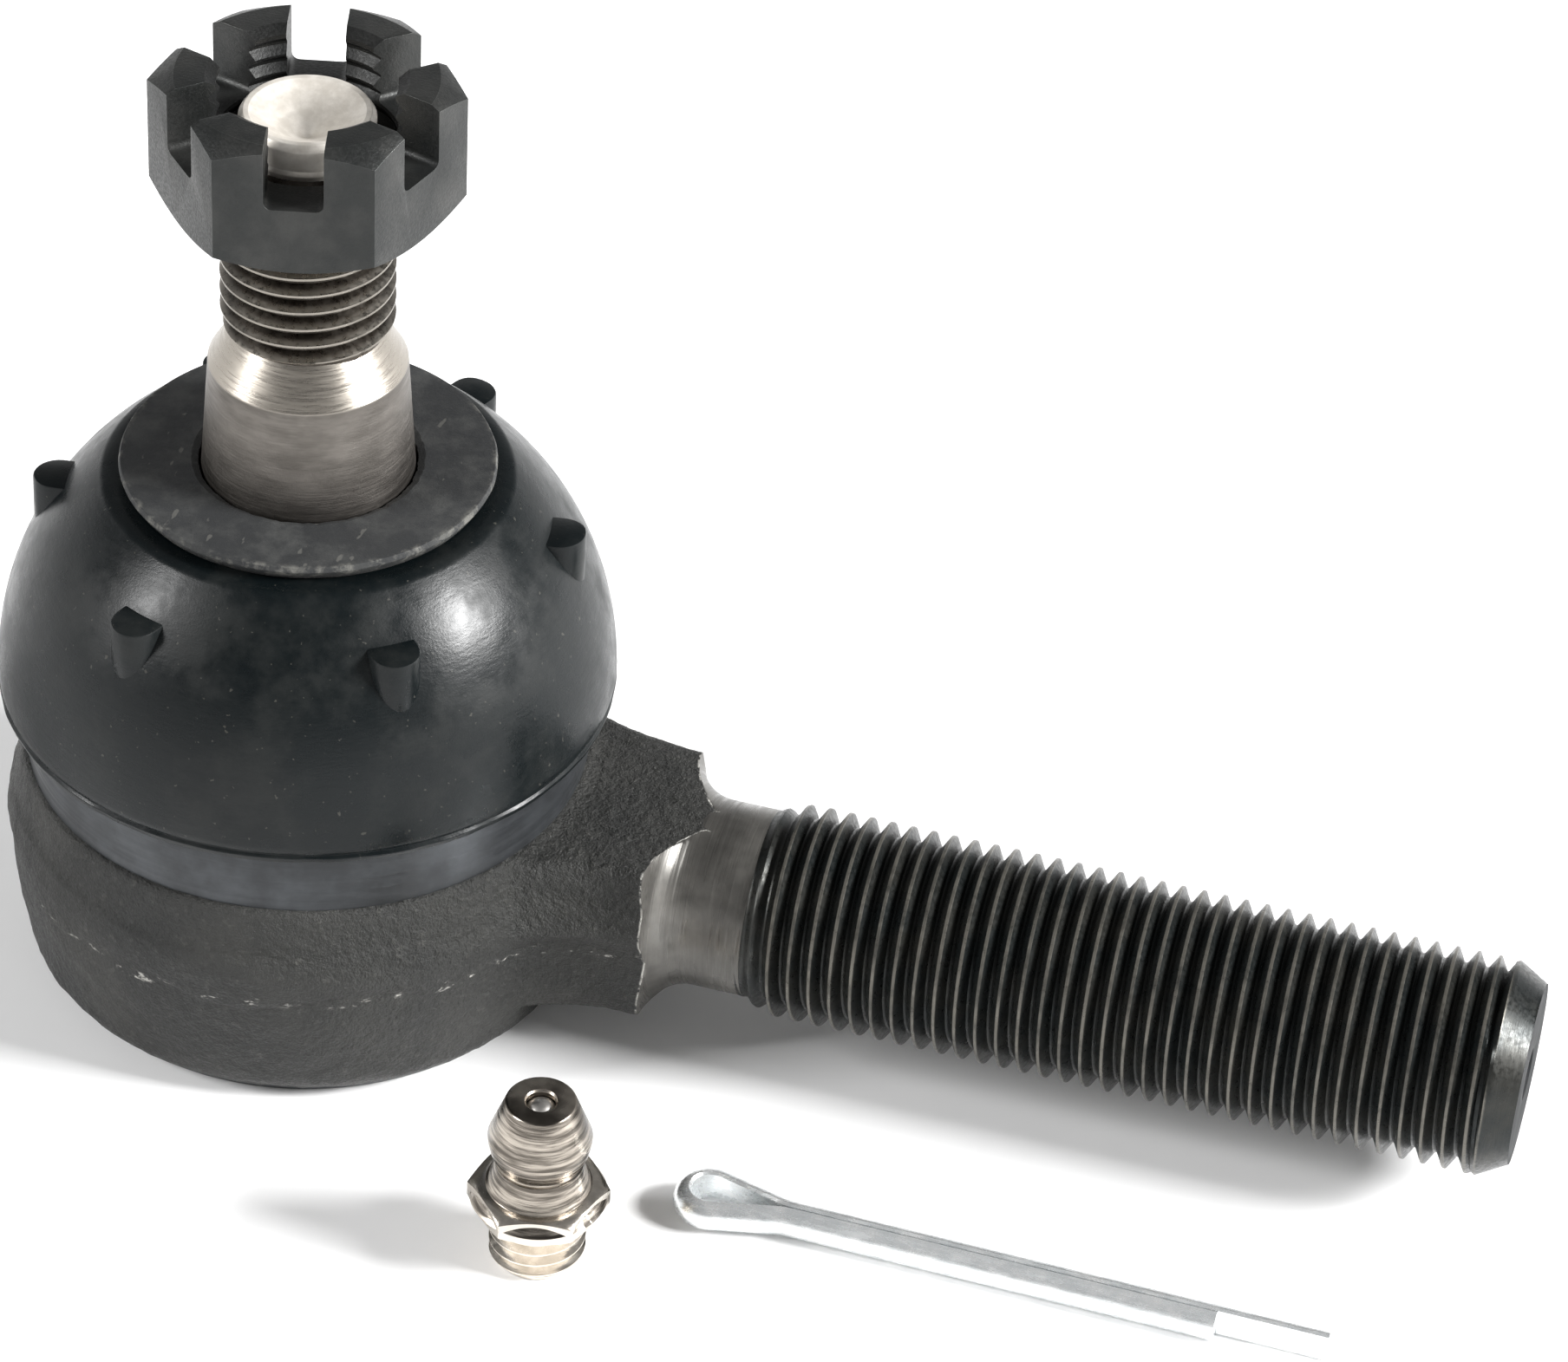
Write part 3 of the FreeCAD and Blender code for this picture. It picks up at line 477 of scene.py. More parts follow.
def forged_material():
    """Black phosphated forging: pebbled skin, rubbed high spots and bright flecks on the trim lines."""
    s = Surface("black_forging_skin", metallic=0.2, specular_ior_level=0.4)
    pebbles = s.noise(1.6, 5, 0.65)
    fine = s.noise(6.0, 3, 0.6)
    blotch = s.noise(0.12, 3, 0.5)
    base = s.mix(s.range(blotch, 0.35, 0.7), (0.016, 0.0165, 0.0155), (0.029, 0.029, 0.0265))
    rubbed = s.range(pebbles, 0.56, 0.75)
    colour = s.mix(s.math("MULTIPLY", rubbed, 0.55), base, (0.085, 0.083, 0.075))
    line = s.math("ABSOLUTE", s.math("SUBTRACT", s.height("Z"), s.math(
        "ADD", s.math("MULTIPLY", s.noise(0.22, 3, 0.6), 2.4), -1.9)))
    near = s.range(line, 0.12, 0.5, 1.0, 0.0)
    flecks = s.math("MULTIPLY", near, s.range(s.noise(0.8, 5, 0.75, (1, 1, 2.5)), 0.57, 0.65))
    worn = s.math("MULTIPLY", cut_edge(s), s.range(s.noise(1.1, 4, 0.7), 0.42, 0.56))
    marks = s.math("MAXIMUM", flecks, worn)
    s.link(s.mix(marks, colour, (0.42, 0.41, 0.38)), "Base Color")
    s.link(s.range(fine, 0.3, 0.7, 0.36, 0.56), "Roughness")
    bumps = s.relief(pebbles, 0.5, 0.9)
    s.link(s.relief(fine, 0.11, 0.7, bumps), "Normal")
    return s.material


def turned_black_material(name, axis, tone=0.032, lines=5.0, tint=(0.85, 0.92, 1.0), rough=0.28,
                          depth=0.03, metallic=0.55):
    """Black oxide over a turned surface, with fine tool lines round an axis."""
    s = Surface(name, metallic=metallic, specular_ior_level=metallic)
    stretch = (0.03, 0.03, 1) if axis == "Z" else (1, 0.03, 0.03)
    tool = s.noise(lines, 3, 0.55, stretch)
    blotch = s.noise(0.25, 4, 0.6)
    dark = tuple(tone * c for c in tint)
    light = tuple(tone * c * 1.9 for c in tint)
    s.link(s.mix(s.range(blotch, 0.35, 0.7), dark, light), "Base Color")
    s.link(s.range(tool, 0.3, 0.7, rough, rough + 0.18), "Roughness")
    s.link(s.relief(tool, depth, 0.7), "Normal")
    return s.material


def neck_material(name):
    """Thinly blacked neck, warm grey with plain tool lines."""
    return turned_black_material(name, "X", 0.075, 3.0, (1.0, 0.96, 0.88), 0.22, 0.06)


def stem_thread_material():
    """Black oxide thread whose crests are worn to a thin paler line."""
    s = Surface("black_stem_thread", metallic=0.6, specular_ior_level=0.5)
    out = s.distance("X")
    worn = s.range(out, STEM_MAJOR - 0.10, STEM_MAJOR - 0.01)
    patch = s.range(s.noise(0.35, 4, 0.7), 0.25, 0.62, 0.25, 1.0)
    blotch = s.mix(s.range(s.noise(0.3, 3, 0.6), 0.35, 0.7), (0.012, 0.0145, 0.0145), (0.026, 0.026, 0.023))
    s.link(s.mix(s.math("MULTIPLY", worn, patch), blotch, (0.12, 0.113, 0.098)), "Base Color")
    s.link(s.range(s.noise(3.0, 3, 0.6), 0.3, 0.7, 0.26, 0.44), "Roughness")
    s.link(s.relief(s.noise(4.0, 3, 0.6, (1, 0.15, 0.15)), 0.03, 0.6), "Normal")
    return s.material


def ground_steel_material():
    """Bare ground steel of the stud: fine rings, a warm grey tone and faint stains."""
    s = Surface("bare_steel_ground", metallic=1.0)
    rings = s.noise(7.0, 4, 0.7, (0.05, 0.05, 1))
    coarse = s.noise(0.8, 3, 0.6, (0.4, 0.4, 1))
    chamfer = s.range(s.height("Z"), TAPER_TOP - 0.15, TAPER_TOP + 0.1)
    body = s.mix(s.range(coarse, 0.3, 0.7), (0.122, 0.112, 0.101), (0.18, 0.166, 0.151))
    s.link(s.mix(chamfer, body, (0.36, 0.33, 0.29)), "Base Color")
    grain = s.range(rings, 0.3, 0.7, 0.36, 0.52)
    s.link(s.math("SUBTRACT", grain, s.math("MULTIPLY", chamfer, 0.14)), "Roughness")
    s.link(s.relief(rings, 0.02, 0.8), "Normal")
    return s.material


def stud_thread_material():
    """Bare steel thread, browned in its roots and bright on its crests."""
    s = Surface("bare_steel_thread", metallic=1.0)
    out = s.distance("Z")
    crest = s.range(out, STUD_MINOR + 0.25, STUD_MAJOR - 0.02)
    stain = s.noise(0.5, 4, 0.65)
    root = s.mix(s.range(stain, 0.35, 0.7), (0.044, 0.038, 0.032), (0.096, 0.086, 0.075))
    s.link(s.mix(crest, root, (0.27, 0.25, 0.22)), "Base Color")
    s.link(s.range(s.noise(2.5, 3, 0.6), 0.3, 0.7, 0.24, 0.42), "Roughness")
    s.link(s.relief(s.noise(5.0, 3, 0.6, (0.1, 0.1, 1)), 0.02, 0.6), "Normal")
    return s.material


def nut_material(name, tone, metallic=0.55):
    """Satin black oxide of the castle nut, pitted very finely."""
    s = Surface(name, metallic=metallic, specular_ior_level=0.5)
    fine = s.noise(5.0, 4, 0.6)
    blotch = s.noise(0.25, 3, 0.6)
    dark = tuple(tone * c for c in (0.8, 0.86, 0.84))
    light = tuple(tone * c for c in (1.5, 1.52, 1.45))
    s.link(s.mix(s.range(blotch, 0.35, 0.7), dark, light), "Base Color")
    s.link(s.range(fine, 0.3, 0.7, 0.34, 0.5), "Roughness")
    s.link(s.relief(fine, 0.035, 0.7), "Normal")
    return s.material


def gloss_rubber_material():
    """Glossy moulded rubber with dusty patches, mould lines and a few specks."""
    s = Surface("boot_gloss_rubber", specular_ior_level=0.24)
    dust = s.range(s.noise(0.16, 5, 0.65), 0.46, 0.68)
    speck = s.range(s.noise(2.4, 2, 0.5), 0.70, 0.74)
    base = s.mix(dust, (0.0025, 0.0042, 0.0048), (0.0085, 0.0100, 0.0100))
    s.link(s.mix(s.math("MULTIPLY", speck, 0.3), base, (0.11, 0.105, 0.09)), "Base Color")
    rough = s.math("ADD", s.range(s.noise(0.5, 4, 0.6), 0.3, 0.7, 0.24, 0.34),
                   s.math("MULTIPLY", dust, 0.14))
    s.link(rough, "Roughness")
    streaks = s.relief(s.noise(1.5, 3, 0.6, (0.5, 0.5, 2.0)), 0.03, 0.5)
    s.link(s.relief(s.noise(6.0, 3, 0.6), 0.02, 0.4, streaks), "Normal")
    return s.material


def matt_rubber_material():
    """Matt rubber of the seal ring, greyed by dust and fluff."""
    s = Surface("ring_matt_rubber", specular_ior_level=0.12)
    dust = s.range(s.noise(0.35, 5, 0.7), 0.40, 0.72)
    fluff = s.range(s.noise(1.6, 2, 0.4, (1, 0.35, 1)), 0.70, 0.735)
    rim = s.range(s.distance("Z"), RING - 0.55, RING - 0.05)
    base = s.mix(dust, (0.029, 0.030, 0.031), (0.052, 0.053, 0.052))
    light = s.math("MAXIMUM", s.math("MULTIPLY", fluff, 0.5),
                   s.math("MULTIPLY", rim, s.range(s.noise(0.9, 4, 0.7), 0.45, 0.68)))
    s.link(s.mix(light, base, (0.12, 0.118, 0.108)), "Base Color")
    s.link(s.range(dust, 0, 1, 0.55, 0.75), "Roughness")
    s.link(s.relief(s.noise(5.0, 4, 0.65), 0.05, 0.6), "Normal")
    return s.material


def plated_material(name, dark, light, axis_stretch, centre=(0, 0, 0), rough=(0.14, 0.26), metallic=1.0,
                    depth=0.02, banded=False):
    """Bright plating with drawn or turned lines; its tone follows the lines or small dull spots."""
    s = Surface(name, metallic=metallic)
    lines = s.noise(5.0, 3, 0.6, axis_stretch, centre)
    pattern = lines if banded else s.noise(0.8, 4, 0.65)
    s.link(s.mix(s.range(pattern, 0.35, 0.7), dark, light), "Base Color")
    s.link(s.range(lines, 0.3, 0.7, *rough), "Roughness")
    s.link(s.relief(lines, depth, 0.6), "Normal")
    return s.material


def inner_steel_material(name, tone, rough):
    """Oiled steel of the parts inside the joint."""
    s = Surface(name, metallic=1.0)
    film = s.noise(0.4, 4, 0.6)
    rings = s.noise(4.0, 3, 0.6, (0.05, 0.05, 1))
    s.link(s.mix(s.range(film, 0.35, 0.7), tuple(c * 0.7 for c in tone), tone), "Base Color")
    s.link(s.range(film, 0.3, 0.7, rough, rough + 0.15), "Roughness")
    s.link(s.relief(rings, 0.02, 0.6), "Normal")
    return s.material


def floor_material():
    """Plain pale studio floor."""
    s = Surface("floor_paper")
    s.set("Roughness", 0.85)
    grain = s.noise(0.2, 3, 0.5)
    s.link(s.mix(s.range(grain, 0.3, 0.7), (0.95, 0.95, 0.95), (0.97, 0.97, 0.97)), "Base Color")
    return s.material


# ---- housing -------------------------------------------------------------------------------

def shank_half_width(x):
    """Half width of the forged shank block, flaring into the eye."""
    return SHANK_Y + FLARE - math.sqrt(FLARE ** 2 - max(FLARE_X - x, 0.0) ** 2)


def shank_block():
    """Forged block between eye and stem, drafted both ways from its parting plane."""
    verts = []
    steps = 40
    stations = [SHANK_START + (SHANK_END - SHANK_START) * k / steps for k in range(steps + 1)]
    parting = 1.2
    section = [(-SHANK_Z, 0.90), (-SHANK_Z + 1.2, 0.955), (parting - 0.9, 1.0), (parting - 0.5, 1.035),
               (parting + 0.5, 1.035), (parting + 0.9, 1.0), (SHANK_Z - 1.0, 0.95), (SHANK_Z, 0.90)]
    outline = [(share, z) for z, share in section] + [(-share, z) for z, share in reversed(section)]
    for x in stations:
        half = shank_half_width(x)
        verts += [(x, share * half, z) for share, z in outline]
    size = len(outline)
    faces = [tuple(range(size)), tuple(range(len(verts) - 1, len(verts) - 1 - size, -1))]
    for row in range(len(stations) - 1):
        for k in range(size):
            a, b = row * size + k, row * size + (k + 1) % size
            faces.append((a, a + size, b + size, b))
    block = make_object("shank_block", verts, faces, smooth=False)
    face_outwards(block)
    boolean(block, revolve("eye_core", [(0, -12), (CORE, -12), (CORE, 12), (0, 12)], 96), "DIFFERENCE")
    return block


def eye_blank():
    """Rough ring of the eye, hollow so that the turned piece fills its inside."""
    profile = rounded([
        (CORE, FORGING_LOW), (17.9, FORGING_LOW, 0.8), (18.95, FORGING_LOW + 1.3, 1.2),
        (EYE - 0.1, -3.0, 3.0), (EYE + 0.1, 1.5, 3.0), (EYE - 0.45, 4.6, 1.2),
        (BAND + 0.35, BAND_LOW + 0.15, 0.4), (CORE, BAND_LOW + 0.15)], closed=True)
    return revolve("eye_blank", profile, 160, closed=True)


def lap_line(x, y, level, swing):
    """Height of a wavy trim line round the eye."""
    wave = noise.noise(Vector((x * 0.11, y * 0.11, level)))
    return level + swing * wave


def roughen(point, normal):
    """Push a forging point out or in: broad lumps, pebbling and the raised band between trim lines."""
    p = Vector(point) / MM
    outward = 0.16 * noise.noise(p * 0.16) + 0.07 * noise.noise(p * 0.75) + 0.035 * noise.noise(p * 1.9)
    upper = lap_line(p.x, p.y, 3.1, 1.6)
    lower_line = lap_line(p.x, p.y, -0.6, 2.4)
    inside = min(max((upper - p.z) / 0.35, 0), 1) * min(max((p.z - lower_line) / 0.25, 0), 1)
    steep = 1.0 - abs(normal.z)
    return outward + 0.22 * inside * steep


def forged_body():
    """Eye and shank as one rough forging, with the turned fillet cut into the shank's end."""
    piece = join("housing_forging", [eye_blank(), shank_block()])
    remesh = piece.modifiers.new("skin", "REMESH")
    remesh.mode = "VOXEL"
    remesh.voxel_size = 0.32 * MM
    ease = piece.modifiers.new("ease", "SMOOTH")
    ease.factor = 0.5
    ease.iterations = 7
    settle(piece)
    mesh = piece.data
    skin = [(vertex.co.copy(), vertex.normal.copy()) for vertex in mesh.vertices]
    moved = []
    for place, normal in skin:
        radial = math.hypot(place.x, place.y) / MM
        hold = min(max((BAND_LOW + 0.2 - place.z / MM) / 0.8, 0), 1) if radial < EYE + 1.2 else 1
        moved.extend(place + normal * (roughen(place, normal) * MM * hold))
    mesh.vertices.foreach_set("co", moved)
    mesh.update()
    forged, turned = forged_material(), neck_material("black_neck_turned")
    piece.data.materials.append(forged)
    cutter = revolve("neck_cutter", arc_points(
        (NECK + NECK_FILLET, NECK_START), NECK_FILLET, 180, 270, 14) + [
        (NECK + 9, NECK_START - NECK_FILLET), (NECK + 9, SHANK_END + 1), (NECK - 1, SHANK_END + 1),
        (NECK - 1, NECK_START + 0.05)],
        128, ALONG_X, closed=True)
    cutter.data.materials.append(turned)
    boolean(piece, cutter, "DIFFERENCE", transfer=True)
    shade(piece, math.radians(60))
    return finish_piece(piece, "eye", (), ("housing",))


def turned_housing():
    """Every turned face of the eye: band, boot groove, crown, bore, plate seat and rolled rim."""
    profile = rounded([
        (BAND, BAND_LOW - 1.2), (BAND, LIP, 0.1), (GROOVE, LIP), (GROOVE, LIP + 1.7),
        (GROOVE + 0.6, LIP + 1.7, 0.15), (GROOVE + 0.6, CROWN, 0.4), (BORE - 0.7, CROWN, 0.3),
        (8.6, ROOF, 0.2), (BORE, ROOF),
        (BORE, PLATE_TOP), (BORE + 0.8, PLATE_TOP), (BORE + 0.8, PLATE), (13.0, PLATE),
        (13.0, FLOOR, 0.25), (17.3, FLOOR, 0.3), (17.75, FLOOR + 0.75, 0.25), (17.6, FORGING_LOW + 1.2)])
    piece = revolve("housing_turned", profile, 224)
    material = turned_black_material("black_band_turned", "Z", 0.032, 3.0)
    return finish_piece(piece, "eye", (material,), ("housing",))


def stem_parts():
    """Turned neck, helical thread and centre-drilled end of the stem."""
    neck = revolve("housing_neck", rounded([
        (NECK - 0.3, NECK_START - 1.6), (NECK, NECK_START - 0.6, 0.5), (NECK, STEM_THREAD + 0.4)]),
        128, ALONG_X)
    finish_piece(neck, "eye", (neck_material("black_neck_lines"),), ("housing",))
    ridge = thread("housing_stem_thread", STEM_THREAD, STEM_END, STEM_PITCH, STEM_MAJOR, STEM_MINOR, ALONG_X,
                   chamfer=STEM_CHAMFER, tip=STEM_TIP, fade=1.6, land=STEM_LAND)
    finish_piece(ridge, "eye", (stem_thread_material(),), ("housing",))
    tip = revolve("housing_stem_end", rounded([
        (STEM_TIP + 0.05, STEM_END - 0.12), (STEM_TIP - 0.08, STEM_END, 0.08), (1.75, STEM_END, 0.1),
        (0.85, STEM_END - 1.1, 0.1), (0.85, STEM_END - 3.2), (0, STEM_END - 3.6)]), 128, ALONG_X)
    dull = turned_black_material("black_stem_end", "X", 0.010, 6.0, rough=0.5, metallic=0.15)
    finish_piece(tip, "eye", (dull,), ("housing",))


# ---- stud and nut --------------------------------------------------------------------------

def taper_radius(height):
    """Radius of the stud's taper at a height."""
    return TAPER_RADIUS + (TAPER_TOP - height) * TAPER_SLOPE


def stud_parts():
    """Ball, neck and taper; helical thread; pilot with its driving dimple."""
    flat_angle = math.degrees(math.asin(BALL_FLAT / BALL))
    neck_angle = math.degrees(math.acos(STUD_NECK / BALL))
    profile = [(0, BALL_FLAT)] + arc_points((0, 0), BALL, flat_angle, neck_angle, 40)
    profile += rounded([
        profile[-1], (STUD_NECK, 12.5, 3.0), (taper_radius(TAPER_LOW), TAPER_LOW, 2.0),
        (TAPER_RADIUS, TAPER_TOP, 0.12), (RELIEF_RADIUS + 0.15, RELIEF, 0.3),
        (STUD_MINOR, RELIEF + 0.5)])[1:]
    body = revolve("stud_taper", profile, 192)
    finish_piece(body, "stud", (ground_steel_material(),), ("ball_stud",))
    steel = stud_thread_material()
    ridge = thread("stud_thread", RELIEF + 0.1, STUD_THREAD_TOP, STUD_PITCH, STUD_MAJOR, STUD_MINOR, UPRIGHT,
                   chamfer=0.9, tip=PILOT, fade=0.9)
    finish_piece(ridge, "stud", (steel,), ("ball_stud",))
    pilot = revolve("stud_pilot", rounded([
        (STUD_MINOR - 0.35, STUD_THREAD_TOP - 0.6), (STUD_MINOR - 0.35, STUD_THREAD_TOP + 0.2, 0.1),
        (PILOT, STUD_THREAD_TOP + 0.5, 0.12), (PILOT, STUD_END - 0.45, 0.25),
        (PILOT - 0.3, STUD_END, 0.12), (DIMPLE, STUD_END - 0.03, 0.1), (0.25, STUD_END - 1.95, 0.2),
        (0, STUD_END - 2.0)]), 128)
    bright = plated_material("bare_steel_bright", (0.62, 0.58, 0.52), (0.78, 0.74, 0.68),
                             (0.06, 0.06, 1), rough=(0.42, 0.56), metallic=0.4)
    finish_piece(pilot, "stud", (bright,), ("ball_stud",))


def nut_bore():
    """Cutter for the nut's threaded hole, with a ring for each thread groove."""
    profile = [(0, NUT_LOW - 1), (NUT_MAJOR + 0.2, NUT_LOW - 1), (NUT_MAJOR + 0.2, NUT_LOW),
               (NUT_MINOR, NUT_LOW + 0.4)]
    height = NUT_LOW + 0.6
    while height < NUT_TOP - STUD_PITCH - 0.6:
        profile += [(NUT_MINOR, height), (NUT_MAJOR, height + STUD_PITCH * 0.38),
                    (NUT_MAJOR, height + STUD_PITCH * 0.52), (NUT_MINOR, height + STUD_PITCH * 0.9)]
        height += STUD_PITCH
    profile += [(NUT_MINOR, NUT_TOP - 0.45), (NUT_MAJOR + 0.2, NUT_TOP), (NUT_MAJOR + 0.2, NUT_TOP + 1),
                (0, NUT_TOP + 1)]
    return revolve("nut_bore", profile, 96)


def castle_nut():
    """Slotted nut: bevelled hexagon, six slots, worn edges and a threaded hole."""
    piece = prism("castle_nut_black", hexagon(NUT_FLATS, NUT_TURN), NUT_LOW, NUT_TOP)
    far = 10.4
    drop = math.tan(math.radians(30))
    limit = revolve("nut_limit", [
        (0, NUT_LOW), (NUT_BEVEL_LOW, NUT_LOW), (far, NUT_LOW + (far - NUT_BEVEL_LOW) * drop),
        (far, NUT_TOP - (far - NUT_BEVEL_TOP) * drop), (NUT_BEVEL_TOP, NUT_TOP), (0, NUT_TOP)], 160)
    boolean(piece, limit, "INTERSECT")
    for step in range(3):
        turn = math.radians(NUT_TURN + 30 + 60 * step)
        across = Vector((math.cos(turn), math.sin(turn)))
        side = Vector((-across.y, across.x)) * SLOT_WIDTH / 2
        reach = across * SLOT_REACH
        corners = [reach + side, -reach + side, -reach - side, reach - side]
        slot = prism("slot", [tuple(c) for c in corners], NUT_TOP - SLOT_DEPTH, NUT_TOP + 2)
        soften_edges(slot, 0.5, 4)
        boolean(piece, slot, "DIFFERENCE")
    piece.data.materials.append(nut_material("black_nut_face", 0.024))
    piece.data.materials.append(nut_material("black_nut_edge", 0.10, 0.8))
    soften_edges(piece, 0.26, 3, 1)
    bore = nut_bore()
    bore.data.materials.append(nut_material("black_nut_bore", 0.010))
    boolean(piece, bore, "DIFFERENCE", transfer=True)
    shade(piece, math.radians(30))
    return finish_piece(piece, "nut", (), ("castle_nut",))


# ---- boot and seal ring --------------------------------------------------------------------

def dome_arc(inset=0.0, steps=48):
    """Profile of the boot's dome from just above its lip to its top."""
    foot = Vector((BOOT - 0.05 - inset, LIP + 0.9 + (2.5 if inset else 0)))
    top = Vector((DOME_TOP - inset, BOOT_TOP - inset * 0.6))
    radius = DOME_CURVE - inset
    half = (top - foot) / 2
    side = Vector((half.y, -half.x)).normalized()
    centre = (foot + top) / 2 - side * math.sqrt(radius ** 2 - half.length_squared)
    start = math.degrees(math.atan2(foot.y - centre.y, foot.x - centre.x))
    end = math.degrees(math.atan2(top.y - centre.y, top.x - centre.x))
    return arc_points(tuple(centre), radius, start, end, steps)


def nub(turn):
    """One moulded nub: an upright half-round post with a flat top, its root inside the boot's wall."""
    outline = [(NUB_ROOT, -NUB_HALF), *arc_points((NUB_CENTRE, 0), NUB_HALF, -90, 90, 14),
               (NUB_ROOT, NUB_HALF)]
    post = prism("nub", outline, NUB_FOOT, NUB_TOP)
    soften_edges(post, 0.17, 2)
    lean = random.uniform(-0.02, 0.02)
    for vertex in post.data.vertices:
        x, y, z = vertex.co / MM
        bow = 0.10 * noise.noise(Vector((x * 0.6, y * 0.6, z * 0.4 + turn)))
        vertex.co = Vector((x + bow, y + lean * (z - NUB_FOOT), z + bow * 0.8)) * MM
    post.data.transform(Matrix.Rotation(math.radians(turn), 4, "Z"))
    return post


def boot_wobble(angle, radius, height):
    """Slight unevenness of moulded rubber, stronger at the lip's trimmed edge."""
    around = Vector((math.cos(angle) * 1.4, math.sin(angle) * 1.4, height * 0.05))
    push = 0.05 * noise.noise(around)
    if height < LIP + 0.5 and radius > BOOT - 1.2:
        push += 0.07 * noise.noise(around * 9)
    return radius + push, height


def boot():
    """Domed boot with its lip bead, inner wall, open top and six nubs."""
    outer = dome_arc()
    inner = dome_arc(BOOT_WALL)
    lip = rounded([
        (GROOVE + 0.05, LIP + 1.6), (GROOVE + 0.05, LIP + 0.05), (BOOT - 0.12, LIP + 0.02, 0.12),
        (BOOT, LIP + 0.42, 0.1), (BOOT - 0.16, LIP + 0.62, 0.05), (BOOT - 0.07, LIP + 0.85, 0.05), outer[0]])
    mouth = rounded([outer[-1], (DOME_TOP - 0.7, BOOT_TOP + 0.02, 0.4), (BOOT_MOUTH, BOOT_TOP, 0.2),
                     (BOOT_MOUTH, BOOT_TOP - BOOT_WALL, 0.2), inner[-1]])
    profile = lip[:-1] + outer + mouth[1:-1] + inner[::-1] + [(GROOVE + 0.9, LIP + 1.7)]
    dome = revolve("boot_dome", profile, 256, closed=True, wobble=boot_wobble)
    piece = join("boot_rubber", [dome] + [nub(NUB_TURN + 60 * step) for step in range(NUBS)])
    shade(piece, math.radians(40))
    finish_piece(piece, None, (gloss_rubber_material(),), ("dust_boot",))
    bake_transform(piece)
    return piece


def ragged(angle, radius, height):
    """Torn inner edge of the seal ring's hole and a slightly uneven rim."""
    around = Vector((math.cos(angle), math.sin(angle), 0))
    if height > RING_TOP - 0.4 and radius < 7.6:
        tear = 0.10 * (1 + noise.noise(around * 9)) + 0.08 * max(0, noise.noise(around * 26))
        return radius + tear, height - 0.06 * (1 + noise.noise(around * 14))
    if radius > RING - 1:
        return radius + 0.05 * noise.noise(around * 5), height
    return radius, height


def seal_ring():
    """Flat ring that closes the boot, with its hub inside the boot's mouth."""
    gap = 0.09
    top, foot = taper_radius(RING_TOP) + gap, taper_radius(RING_TOP - RING_HUB) + gap
    profile = rounded([
        (foot, RING_TOP - RING_HUB), (8.4, RING_TOP - RING_HUB, 0.3), (9.0, RING_TOP - 3.8, 0.3),
        (9.0, RING_TOP - RING_FLANGE, 0.1), (RING - 0.45, RING_TOP - RING_FLANGE, 0.15),
        (RING, RING_TOP - 0.35, 0.15), (RING - 0.12, RING_TOP, 0.1), (9.5, RING_TOP - 0.04),
        (top + 0.45, RING_TOP - 0.03, 0.2),
        (top, RING_TOP - 0.22)], closed=True)
    piece = revolve("seal_ring_rubber", profile, 256, closed=True, wobble=ragged)
    return finish_piece(piece, "collar", (matt_rubber_material(),), ("seal_ring",))


# ---- loose parts ---------------------------------------------------------------------------

